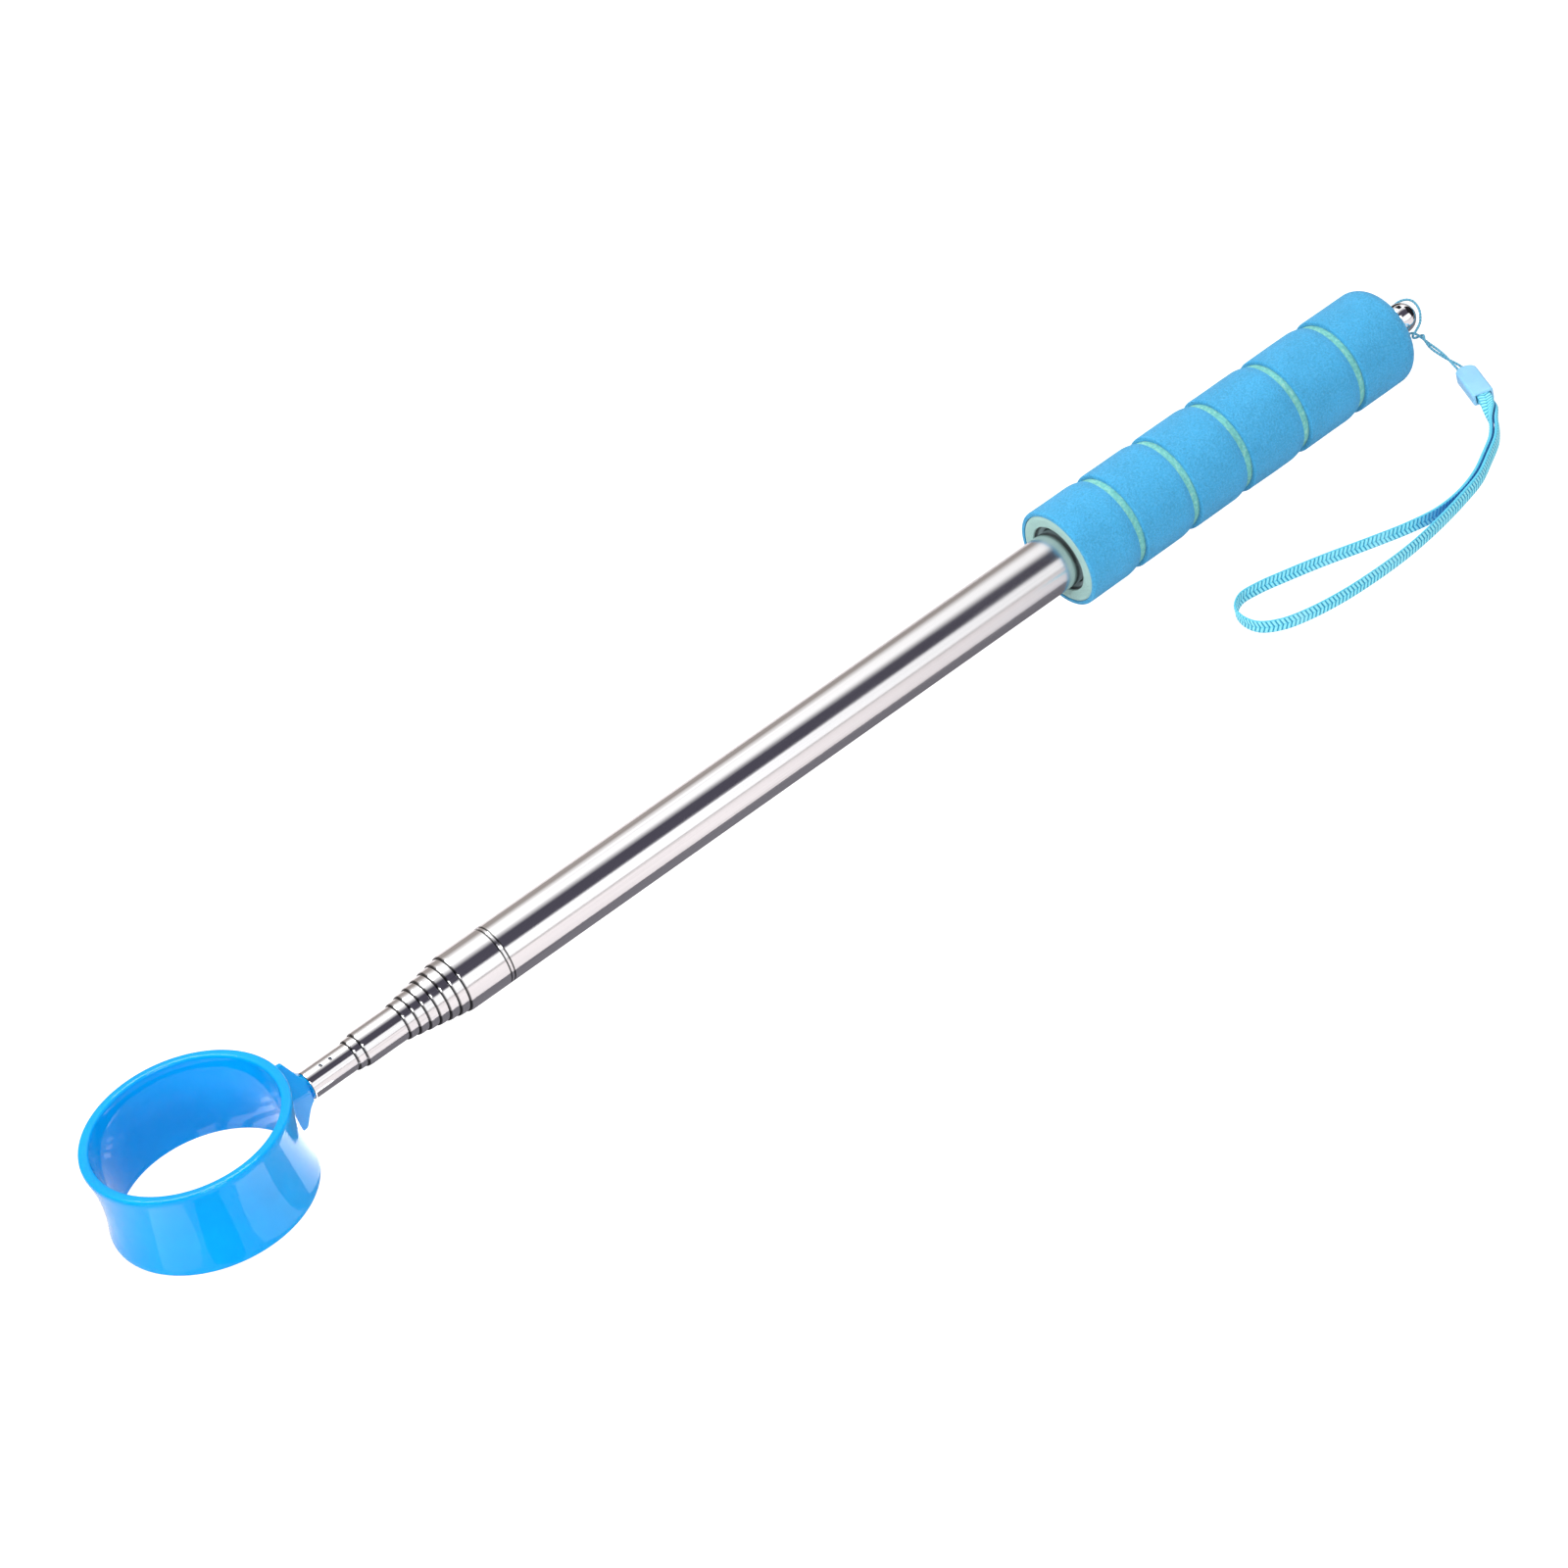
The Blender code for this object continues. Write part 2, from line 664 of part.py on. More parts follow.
def string_route():
    """Points of the string: connector, knot, round the neck and the ball, knot, connector."""
    along, across, _ = connector_frame()
    pull = (STRING_KNOT - CONNECTOR_REAR).normalized()
    side = pull.cross(UP).normalized()
    over = side.cross(pull)
    inside = [CONNECTOR_REAR + along * u for u in (0.0045, 0.0025, 0.0005)]
    first = [p - across * STRING_APART for p in inside]
    for part, aside, above in FIRST_STRAND:
        first.append(CONNECTOR_REAR.lerp(STRING_KNOT, part) + side * aside + over * above)
    turn = []
    for k in range(10):
        a = math.radians(15.0 + 40.0 * k)
        lift = pull * (0.0003 + 0.0034 * (k / 9.0) ** 2)
        turn.append(STRING_KNOT - lift + (over * math.cos(a) - side * math.sin(a)) * KNOT_TURN_R)
    second = []
    for part, aside, above in SECOND_STRAND:
        second.append(CONNECTOR_REAR.lerp(STRING_KNOT, part) + side * aside + over * above)
    second += [p + across * STRING_APART for p in reversed(inside)]
    return first + [STRING_KNOT] + STRING_LOOP + turn + second


def strap_string(cord):
    """Thin string: a slack loop caught round the knob's neck and knotted on itself."""
    line = smooth_line(string_route(), 0.0007)
    curve = bpy.data.curves.new("strap_string", "CURVE")
    curve.dimensions = "3D"
    curve.bevel_depth = STRING_R
    curve.bevel_resolution = 2
    curve.use_fill_caps = True
    spline = curve.splines.new("POLY")
    spline.points.add(len(line) - 1)
    for point, co in zip(spline.points, line):
        point.co = (*co, 1.0)
    curve.materials.append(cord)
    obj = bpy.data.objects.new("strap_string", curve)
    bpy.context.scene.collection.objects.link(obj)
    return obj


# ---------------------------------------------------------------- assembly
def hang_on(child, parent):
    """Parent a piece and keep it where it is."""
    child.parent = parent
    child.matrix_parent_inverse = parent.matrix_world.inverted()


def build():
    """Build every piece in its place."""
    clear_scene()
    steel = material("stainless_steel", (0.72, 0.72, 0.73), 1.0, 0.12)
    inner_steel = material("stainless_steel_inner", (0.66, 0.66, 0.68), 1.0, 0.18)
    brass = material("brass_spring", (0.78, 0.57, 0.25), 1.0, 0.30)
    ring_blue = material("ring_plastic", (0.010, 0.350, 0.890), 0.0, 0.14)
    foam_blue = material("foam_blue", (0.090, 0.470, 0.830), 0.0, 0.85)
    foam_mint = material("foam_mint", (0.250, 0.720, 0.540), 0.0, 0.90)
    chrome = material("chrome", (0.85, 0.85, 0.87), 1.0, 0.05)
    dark = material("plug_plastic", (0.030, 0.032, 0.036), 0.0, 0.45)
    web = material("webbing", (0.160, 0.680, 0.850), 0.0, 0.80)
    cord = material("string", (0.150, 0.520, 0.720), 0.0, 0.70)
    pale = material("connector_plastic", (0.330, 0.690, 0.950), 0.0, 0.30)

    tube = outer_tube(steel)
    front_collar(steel)
    tail = PLUG_FRONT_X - TAIL_GAP
    for label, front in SECTION_FRONTS:
        last_tube = section(label, front, tail, inner_steel)
        sleeve(label, front, tail, brass)
    head = ring_head(ring_blue)
    head_pins(head, last_tube, steel)
    grip_core(foam_mint)
    grip_bands(foam_blue)
    rear_plug(dark)
    end_knob(chrome)
    strap_connector(pale)
    wrist_strap(web)
    strap_string(cord)
    bpy.context.view_layer.update()
    for obj in list(bpy.data.objects):
        if obj is not tube and obj.parent is None:
            hang_on(obj, tube)


build()
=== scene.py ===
"""Golf ball retriever: finished surfaces, materials, light and camera.

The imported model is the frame.  Its pole lies along X with the cup ring at the -X end
and the foam grip at the +X end.  The grip's underside is at z = 0, and the floor lies
lower, so that the ring can swivel clear of it.  Lengths are in metres.  Every piece
here takes its place from the frame, stands for one node or more of it and rides on
that node's body.
"""
import math

import bmesh
import bpy
from mathutils import Matrix, Vector, noise


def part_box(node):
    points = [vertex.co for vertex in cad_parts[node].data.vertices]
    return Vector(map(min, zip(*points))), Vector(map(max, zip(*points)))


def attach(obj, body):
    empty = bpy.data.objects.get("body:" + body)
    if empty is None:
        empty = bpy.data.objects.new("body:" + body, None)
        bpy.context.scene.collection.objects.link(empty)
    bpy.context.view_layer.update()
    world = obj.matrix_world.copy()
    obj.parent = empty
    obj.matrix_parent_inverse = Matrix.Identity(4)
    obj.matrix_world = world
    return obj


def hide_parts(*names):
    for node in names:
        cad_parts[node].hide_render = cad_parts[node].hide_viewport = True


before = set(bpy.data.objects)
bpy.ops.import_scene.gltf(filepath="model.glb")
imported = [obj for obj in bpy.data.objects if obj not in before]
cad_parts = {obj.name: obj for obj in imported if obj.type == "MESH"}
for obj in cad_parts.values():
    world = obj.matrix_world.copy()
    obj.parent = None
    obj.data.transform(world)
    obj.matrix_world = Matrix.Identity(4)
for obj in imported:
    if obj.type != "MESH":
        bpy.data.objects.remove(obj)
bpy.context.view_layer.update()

UP = Vector((0.0, 0.0, 1.0))
MM = 0.001


def ends(node, axis):
    """Lowest and highest coordinate of a node along one axis."""
    low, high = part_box(node)
    return low[axis], high[axis]


# ---------------------------------------------------------------- sizes from the frame
TUBE_LOW, TUBE_HIGH = ends("outer_tube", 2)
AXIS_Z = (TUBE_LOW + TUBE_HIGH) / 2.0
TUBE_R = (TUBE_HIGH - TUBE_LOW) / 2.0
COLLAR_FRONT_X, COLLAR_REAR_X = ends("front_collar", 0)
OUTER_TAIL_X = ends("outer_tube", 0)[1]
SECTION_LABELS = ["16", "15", "14", "13", "12", "11", "10", "09", "08"]
RING_R = ends("ring_head", 1)[1]
RING_X = ends("ring_head", 0)[0] + RING_R
RING_HALF = ends("ring_head", 2)[1] - AXIS_Z
GRIP_R = ends("grip_band_1", 2)[1] - AXIS_Z
CORE_R = ends("grip_core", 2)[1] - AXIS_Z
GRIP_FRONT_X = ends("grip_core", 0)[0]
KNOB_R = ends("end_knob", 2)[1] - AXIS_Z
KNOB_X = ends("end_knob", 0)[1] - KNOB_R
PLUG_FRONT_X, PLUG_REAR_X = ends("rear_plug", 0)

# ---------------------------------------------------------------- pole
WALL = 0.22 * MM           # thickness of every tube
STEP = 0.50 * MM           # radius step between two sections
LIP_DEEP = 0.35 * MM       # how far a section's rolled front edge turns in
ROLL_LENGTH = 1.60 * MM    # the rolled edge curves in over this length
ROLL_DEPTH = 0.33 * MM     # and turns in by this much
LAST_ROLL = (0.3 * MM, 0.12 * MM)  # the same two for the last tube's smaller edge
LIP_LENGTH = 2.2 * MM
TAIL_FLARE = 0.20 * MM     # a section's tail is wider by this much
TAIL_CONE = 1.0 * MM       # and widens over this length
JOINT_GAP = 0.30 * MM      # open joint at the plug's shoulder and at the ring's neck
SEAM_CHAMFER = 0.22 * MM
SEAM_WIDTH = 0.62 * MM     # room for a small bead between the outer tube and its collar
SEAM_REACH = 1.10 * MM     # to the outlines' next points, where its painted shade has ended
BEAD_START = 0.10 * MM     # where the bead rises behind the collar, and where it ends
BEAD_END = 0.46 * MM
BEAD_RISE = 0.02 * MM      # how far it stands out of the tube
SHADE_PLACE = 0.25 * MM    # painted shade line on each side of the seam, and its fade
SHADE_FADE = 0.60 * MM
SHADE_DEPTH = 0.16 * MM    # the painted shade line darkens the tube's skin down to this depth
TUBE_SIDES = 96
PIN_OFFSETS = (5.2 * MM, 8.3 * MM)
PIN_DIRECTION = Vector((0.0, -0.23, 0.97)).normalized()
PIN_R = 0.45 * MM
PIN_SPAN = (1.5 * MM, 3.88 * MM)       # distances from the axis of a pin's two ends
PIN_HOLE_SPAN = (2.5 * MM, 5.5 * MM)   # and of its hole's
PIN_HOLE_R = 0.55 * MM

# ---------------------------------------------------------------- ring
RING_LIP_T = 2.85 * MM     # thickness of the wall at its lips
RING_WAIST_R = 26.95 * MM  # the wall's outside and inside at mid height
RING_BORE_R = 24.55 * MM
RING_ROUND = 1.4 * MM      # height of the rounded part of a lip
RIM_FLATNESS = 0.55        # 1 is an elliptical lip; less makes its top flatter
RING_SIDES = 160
NECK_RIDGE = 0.65 * MM     # half the width of the flat ridge along the neck's side
NECK_CHAMFER = 0.10 * MM
SPIGOT_R = 3.65 * MM
SPIGOT_LENGTH = 16.5 * MM
# Neck sections in mm: distance from the joint, half height, half width, half tip width.
NECK = [
    (0.0, 3.8, 2.60, 1.9), (0.6, 4.5, 2.60, 1.7), (1.4, 5.7, 2.55, 1.45),
    (2.2, 7.3, 2.50, 1.20), (3.0, 9.1, 2.45, 0.95), (3.7, 10.6, 2.40, 0.75),
    (4.2, 11.1, 2.40, 0.70), (5.6, 11.2, 2.40, 0.70),
]

# ---------------------------------------------------------------- grip
GRIP_SIDES = 220
BAND_COUNT = 6
BAND_BORE_R = 13.75 * MM
BAND_ROUND = 0.45 * MM     # front shoulder of a band
FIRST_ROUND = 0.75 * MM    # and of the first one
GRIP_BORE_R = 8.8 * MM
MOUTH_R = 10.2 * MM
MOUTH_DEPTH = 2.2 * MM
REAR_ROUND = 5.0 * MM
REAR_WALL = 5.8 * MM
SLOPE_LENGTH = 3.6 * MM    # a band eases down into the groove behind it
SLOPE_DROP = 0.62 * MM
GROOVE_CROWN = 0.22 * MM   # the core bulges a little in each groove
CUT_FOAM = (0.430, 0.655, 0.625)   # colour of the core's cut front face
LEDGE_PAINTED_SHADE = (0.240, 0.330, 0.350)  # painted shade: colour of the ledge in its mouth
MOUTH_WALL_PAINTED_SHADE = (0.030, 0.045, 0.048)  # and darker painted shade on the wall round that ledge
# Distances behind the core's front face, each between two tones:
CUT_END = (4.0 * MM, 3.0 * MM)     # the core's own colour and the cut one
MOUTH_SHADE_DEPTHS = (0.4 * MM, 0.8 * MM)  # the cut face and the mouth's painted shade
LEDGE_SHADE_DEPTHS = (1.3 * MM, 1.6 * MM)  # the painted shade of the mouth's wall and of its ledge

# ---------------------------------------------------------------- wrist strap
WEB_WIDTH = 4.1 * MM
WEB_THICK = 0.8 * MM
EDGE_ROUND = 0.22 * MM     # the selvedges bulge over this width
EDGE_THIN = 0.16 * MM      # and are this much thinner on each face
RUN_OFFSET = 0.74 * MM     # of each run from the line that the two share
TWIST_LENGTH = 14.0 * MM   # the webbing turns onto its edge over this length
WEB_INSIDE = 6.6 * MM      # length of each end inside the connector
RIB_PITCH = 1.24 * MM      # along the webbing
RIB_HEIGHT = 0.18 * MM
RIB_SLANT = 0.62           # share of a pitch that a rib leans between edge and middle
FOLD_GAP = (1.7 * MM, 7.5 * MM)   # painted shade of one run on the other, and the swell, fade out between these distances
FOLD_SWELL = 0.20 * MM     # the weave is looser on each face where the runs lie together
STRING_R = 0.38 * MM
STRING_APART = 0.75 * MM   # of each strand from the middle of its hole in the connector
STRING_HOLE_R = 1.3 * MM
PLY_PITCH = 1.9 * MM       # one turn of a ply
KNOT_TURN_R = 1.15 * MM    # of the turns that the string takes round its own loop
CONNECTOR_LENGTH = 15.5 * MM
CONNECTOR_WIDTH = 6.3 * MM
CONNECTOR_THICK = 4.2 * MM
POCKET_DEPTH = 7.5 * MM
CONNECTOR_REAR = Vector((0.2292, -0.0212, 0.0030))
CONNECTOR_MOUTH = Vector((0.2229, -0.0354, 0.0029))
STRING_KNOT = Vector((0.2269, -0.0052, 0.0119))
SHARED_LINE = [
    (0.2225, -0.0364, 0.0029), (0.2192, -0.0420, 0.0027), (0.2153, -0.0468, 0.0025),
    (0.2100, -0.0518, 0.0023), (0.2030, -0.0560, 0.0023),
]
INNER_RUN = [
    (0.1950, -0.0594, 0.0023), (0.1860, -0.0622, 0.0023), (0.1770, -0.0627, 0.0023),
    (0.1680, -0.0606, 0.0023), (0.1560, -0.0559, 0.0023), (0.1440, -0.0508, 0.0023),
    (0.1330, -0.0468, 0.0023), (0.1250, -0.0443, 0.0023), (0.1190, -0.0437, 0.0023),
    (0.1143, -0.0468, 0.0023), (0.1124, -0.0523, 0.0023),
]
OUTER_RUN = [
    (0.1132, -0.0576, 0.0023), (0.1174, -0.0619, 0.0023), (0.1240, -0.0648, 0.0023),
    (0.1350, -0.0672, 0.0023), (0.1470, -0.0682, 0.0023), (0.1600, -0.0681, 0.0023),
    (0.1730, -0.0665, 0.0023), (0.1850, -0.0640, 0.0023), (0.1950, -0.0611, 0.0023),
]
STRING_LOOP = [
    (0.2256, -0.0044, 0.0122), (0.2239, -0.0036, 0.0124), (0.2225, -0.0022, 0.0124),
    (0.2219, 0.0000, 0.0122), (0.2219, 0.0020, 0.0131), (0.2221, 0.0031, 0.0148),
    (0.2231, 0.0042, 0.0158), (0.2249, 0.0052, 0.0161), (0.2271, 0.0056, 0.0160),
    (0.2293, 0.0049, 0.0164), (0.2308, 0.0036, 0.0175), (0.2320, 0.0018, 0.0181),
    (0.2327, 0.0002, 0.0179), (0.2328, -0.0014, 0.0170), (0.2323, -0.0029, 0.0158),
    (0.2313, -0.0040, 0.0146), (0.2300, -0.0049, 0.0136),
]
FIRST_STRAND = [(0.12, -0.00070, 0.0), (0.42, 0.0, 0.00050), (0.72, 0.00040, 0.0)]
SECOND_STRAND = [(0.66, -0.00055, 0.0), (0.42, 0.0, -0.00050), (0.12, 0.00070, 0.0)]


# ---------------------------------------------------------------- camera, floor and light
def place_camera():
    """Long lens from over the ring's side, rolled so that the pole runs up to the right."""
    azimuth = math.radians(-28.363)
    elevation = math.radians(36.589)
    roll = math.radians(-17.367)
    distance = 1.2912
    back = Vector((math.sin(azimuth) * math.cos(elevation),
                   -math.cos(azimuth) * math.cos(elevation),
                   math.sin(elevation)))
    level = Vector((math.cos(azimuth), math.sin(azimuth), 0.0))
    upright = back.cross(level)
    right = level * math.cos(roll) + upright * math.sin(roll)
    top = upright * math.cos(roll) - level * math.sin(roll)
    data = bpy.data.cameras.new("camera")
    data.sensor_width = 36.0
    data.lens = 110.2
    data.clip_start = 0.05
    camera = bpy.data.objects.new("camera", data)
    target = Vector((-0.007525, 0.0, AXIS_Z)) - top * 0.00878
    turn = Matrix((right, top, back)).transposed()
    camera.matrix_world = Matrix.Translation(target + back * distance) @ turn.to_4x4()
    bpy.context.scene.collection.objects.link(camera)
    bpy.context.scene.camera = camera


def smooth_line(points, spacing):
    """Centripetal Catmull-Rom curve through the points, read off at even spacing."""
    pts = [Vector(p) for p in points]
    pts = [2 * pts[0] - pts[1]] + pts + [2 * pts[-1] - pts[-2]]
    fine = []
    for a, b, c, d in zip(pts, pts[1:], pts[2:], pts[3:]):
        t1 = (b - a).length ** 0.5
        t2 = t1 + (c - b).length ** 0.5
        t3 = t2 + (d - c).length ** 0.5
        for k in range(24):
            t = t1 + (t2 - t1) * k / 24.0
            ab = a.lerp(b, t / t1)
            bc = b.lerp(c, (t - t1) / (t2 - t1))
            cd = c.lerp(d, (t - t2) / (t3 - t2))
            fine.append(ab.lerp(bc, t / t2).lerp(bc.lerp(cd, (t - t1) / (t3 - t1)),
                                                 (t - t1) / (t2 - t1)))
    fine.append(pts[-2])
    total = sum((q - p).length for p, q in zip(fine, fine[1:]))
    count = max(2, round(total / spacing))
    line = [fine[0]]
    walked = 0.0
    for p, q in zip(fine, fine[1:]):
        step = (q - p).length
        while len(line) < count and walked + step >= len(line) * total / count:
            need = len(line) * total / count - walked
            line.append(p.lerp(q, need / step))
        walked += step
    line.append(fine[-1])
    return line


def line_length(line):
    """Length of a polyline."""
    return sum((q - p).length for p, q in zip(line, line[1:]))


def path_direction(line, i):
    """Unit direction of a line at one of its points."""
    return (line[min(len(line) - 1, i + 1)] - line[max(0, i - 1)]).normalized()


# ---------------------------------------------------------------- materials
class Nodes:
    """Procedural nodes added to a node tree."""

    def __init__(self, tree):
        self.tree = tree

    def put(self, socket, value):
        """Give an input a value, or the output that drives it."""
        if isinstance(value, bpy.types.NodeSocket):
            self.tree.links.new(value, socket)
        elif socket.type == "RGBA":
            socket.default_value = (*value, 1.0)
        else:
            socket.default_value = value

    def node(self, kind, inputs=None, **settings):
        """New node with its properties and inputs set."""
        new = self.tree.nodes.new(kind)
        for key, value in settings.items():
            setattr(new, key, value)
        for key, value in (inputs or {}).items():
            self.put(new.inputs[key], value)
        return new

    def levels(self, value, low, high, to_low=0.0, to_high=1.0):
        """Remap a value from one range to another, clamped."""
        return self.node("ShaderNodeMapRange", {
            "Value": value, "From Min": low, "From Max": high,
            "To Min": to_low, "To Max": to_high}).outputs["Result"]

    def math(self, operation, a, b):
        """Two values combined; either may be a number."""
        return self.node("ShaderNodeMath", {0: a, 1: b}, operation=operation).outputs["Value"]

    def mix(self, factor, first, second):
        """Blend of two colours; either may be an output."""
        return self.node("ShaderNodeMix", {"Factor": factor, 6: first, 7: second},
                         data_type="RGBA").outputs[2]

    def lay(self, tone, color, value, low, high, most=1.0):
        """A colour laid over a tone, the more the nearer a value is to high."""
        return self.mix(self.levels(value, low, high, 0.0, most), tone, color)


class Look(Nodes):
    """A Principled material whose inputs are driven by procedural nodes."""

    def __init__(self, name, color, roughness, metallic=0.0):
        self.mat = bpy.data.materials.new(name)
        self.mat.use_nodes = True
        super().__init__(self.mat.node_tree)
        self.color = color
        self.set("Base Color", color)
        self.set("Roughness", roughness)
        self.set("Metallic", metallic)
        self.mat.diffuse_color = (*color, 1.0)
        self.place = self.node("ShaderNodeTexCoord").outputs["Object"]

    def set(self, name, value):
        """Set one input of the shader, or drive it."""
        self.put(self.tree.nodes["Principled BSDF"].inputs[name], value)

    def stretched(self, scale):
        """Object coordinates scaled alike, or along each axis."""
        each = scale if isinstance(scale, tuple) else (scale, scale, scale)
        return self.node("ShaderNodeMapping",
                         {"Scale": each, "Vector": self.place}).outputs["Vector"]

    def noise(self, scale, detail=3.0, roughness=0.55):
        """Noise whose features are 1/scale metres, alike or along each axis."""
        return self.node("ShaderNodeTexNoise", {
            "Scale": 1.0, "Detail": detail, "Roughness": roughness,
            "Vector": self.stretched(scale)}).outputs["Fac"]

    def cells(self, scale):
        """Distance to the nearest of scattered points, as for foam cells."""
        return self.node("ShaderNodeTexVoronoi", {
            "Scale": 1.0, "Vector": self.stretched(scale)}).outputs["Distance"]

    def attribute(self, name):
        """A value stored on the mesh."""
        return self.node("ShaderNodeAttribute", attribute_name=name).outputs["Fac"]

    def along_x(self):
        """The x coordinate."""
        return self.node("ShaderNodeSeparateXYZ", {"Vector": self.place}).outputs["X"]

    def shade(self, amount):
        """The base colour made darker or lighter."""
        return tuple(min(1.0, c * amount) for c in self.color)

    def vary(self, value, low, high, dark, light):
        """The base colour between two shades, over a range of a value."""
        return self.lay(self.shade(dark), self.shade(light), value, low, high)

    def finish(self, tone, roughness, *layers):
        """Colour, roughness and stacked bump layers (a height output and its depth)."""
        self.set("Base Color", tone)
        self.set("Roughness", roughness)
        normal = None
        for height, depth in layers:
            inputs = {"Strength": 1.0, "Distance": depth, "Height": height}
            if normal is not None:
                inputs["Normal"] = normal
            normal = self.node("ShaderNodeBump", inputs).outputs["Normal"]
        self.set("Normal", normal)
        return self.mat


def drawn_steel(name, color, roughness, satin_and_shade_from=None):
    """Polished drawn tube: fine lengthwise draw lines, faint specks, a satin rear part, and painted
    shade on rolled edges, seams and towards the grip.
    """
    look = Look(name, color, roughness, 1.0)
    lines = look.noise((14.0, 5200.0, 5200.0), 2.0)
    broad = look.noise((5.0, 900.0, 900.0), 2.0)
    specks = look.noise(2600.0, 2.0, 0.7)
    cloud = look.noise((60.0, 240.0, 240.0))
    streaks = look.noise((7.0, 2400.0, 2400.0), 2.0)
    tone = look.vary(broad, 0.3, 0.7, 0.93, 1.03)
    tone = look.lay(tone, look.shade(0.74), streaks, 0.56, 0.72, 0.55)
    tone = look.lay(tone, look.shade(0.70), specks, 0.60, 0.74, 0.35)
    grain = look.levels(lines, 0.30, 0.75, roughness * 0.75, roughness * 1.5)
    grain = look.math("ADD", grain, look.levels(cloud, 0.45, 0.8, 0.0, 0.05))
    if satin_and_shade_from is not None:
        satin = look.levels(look.along_x(), satin_and_shade_from, satin_and_shade_from + 0.13)
        grain = look.math("ADD", grain, look.math("MULTIPLY", satin, 0.11))
        # painted shade: the rear part's colour darkens towards the grip, where its reflections are
        # dimmer; the added roughness is the satin finish
        tone = look.mix(look.math("MULTIPLY", satin, 0.75), tone, look.shade(0.76))
    # painted shade: the stored edge value darkens rolled edges and seam lines nearly to black
    tone = look.lay(tone, look.shade(0.09), look.attribute("edge"), 0.56, 0.80)
    return look.finish(tone, grain, (lines, 0.0000012), (broad, 0.000003), (specks, 0.000004))


def ring_plastic():
    """Glossy moulded azure plastic with a faint orange-peel skin."""
    look = Look("ring_plastic", (0.001, 0.350, 0.820), 0.05)
    cloud = look.noise(45.0)
    peel = look.noise(900.0, 2.0)
    fine = look.noise(5200.0, 2.0)
    tone = look.lay((0.001, 0.325, 0.775), (0.001, 0.370, 0.850), cloud, 0.35, 0.68)
    look.set("IOR", 1.49)
    look.set("Specular IOR Level", 0.23)
    look.set("Subsurface Weight", 0.30)
    look.set("Subsurface Radius", (0.1, 0.8, 1.0))
    look.set("Subsurface Scale", 0.003)
    return look.finish(tone, look.levels(peel, 0.3, 0.7, 0.030, 0.065),
                       (peel, 0.000006), (fine, 0.0000015))


def foam(name, color, pale, coarse, cut_from=None):
    """Closed-cell foam: soft mottling, fine cells, a matt skin, and a greyer cut face with painted
    shade in its mouth.
    """
    look = Look(name, color, 0.80)
    cloud = look.noise(130.0)
    grain = look.noise(coarse, 4.0, 0.65)
    cells = look.cells(2.6 * coarse)
    tone = look.vary(cloud, 0.35, 0.68, 0.94, 1.05)
    tone = look.lay(tone, pale, grain, 0.51, 0.66, 0.46)
    tone = look.lay(tone, look.shade(0.64), grain, 0.49, 0.35, 0.52)
    if cut_from is not None:
        x = look.along_x()
        cut, dark, ledge = ([cut_from + back for back in pair]
                            for pair in (CUT_END, MOUTH_SHADE_DEPTHS, LEDGE_SHADE_DEPTHS))
        tone = look.lay(tone, CUT_FOAM, x, *cut, 0.85)
        # painted shade: the mouth of the bore is darkened, darkest on its wall, greyer on its ledge
        deep = look.math("MULTIPLY", look.levels(x, *dark, 0.0, 0.95), look.levels(x, *cut))
        tone = look.mix(deep, tone, look.lay(MOUTH_WALL_PAINTED_SHADE, LEDGE_PAINTED_SHADE, x, *ledge))
    look.set("Sheen Weight", 0.12)
    look.set("Sheen Roughness", 0.4)
    return look.finish(tone, look.levels(cells, 0.0, 0.7, 0.70, 0.92),
                       (grain, 0.00045), (cells, 0.00008))


def polished_chrome():
    """Mirror plating with hairline rubbing marks."""
    look = Look("chrome", (0.90, 0.90, 0.92), 0.03, 1.0)
    marks = look.noise((700.0, 5200.0, 2400.0), 3.0, 0.7)
    tone = look.vary(look.noise(300.0, 2.0), 0.35, 0.7, 0.95, 1.04)
    return look.finish(tone, look.levels(marks, 0.35, 0.8, 0.02, 0.10), (marks, 0.0000012))


def plug_plastic():
    """Dark moulded plastic with a fine spark texture."""
    look = Look("plug_plastic", (0.030, 0.032, 0.036), 0.45)
    grain = look.noise(3200.0)
    tone = look.vary(grain, 0.35, 0.7, 0.8, 1.5)
    return look.finish(tone, look.levels(grain, 0.3, 0.7, 0.36, 0.58), (grain, 0.00002))


def connector_plastic():
    """Pale blue satin plastic, a little see-through at its thin rims."""
    look = Look("connector_plastic", (0.300, 0.640, 0.930), 0.34)
    grain = look.noise(3600.0)
    tone = look.vary(look.noise(240.0, 2.0), 0.35, 0.68, 0.96, 1.05)
    look.set("Subsurface Weight", 0.25)
    look.set("Subsurface Radius", (0.3, 0.8, 1.0))
    look.set("Subsurface Scale", 0.001)
    return look.finish(tone, look.levels(grain, 0.3, 0.7, 0.28, 0.42), (grain, 0.000012))


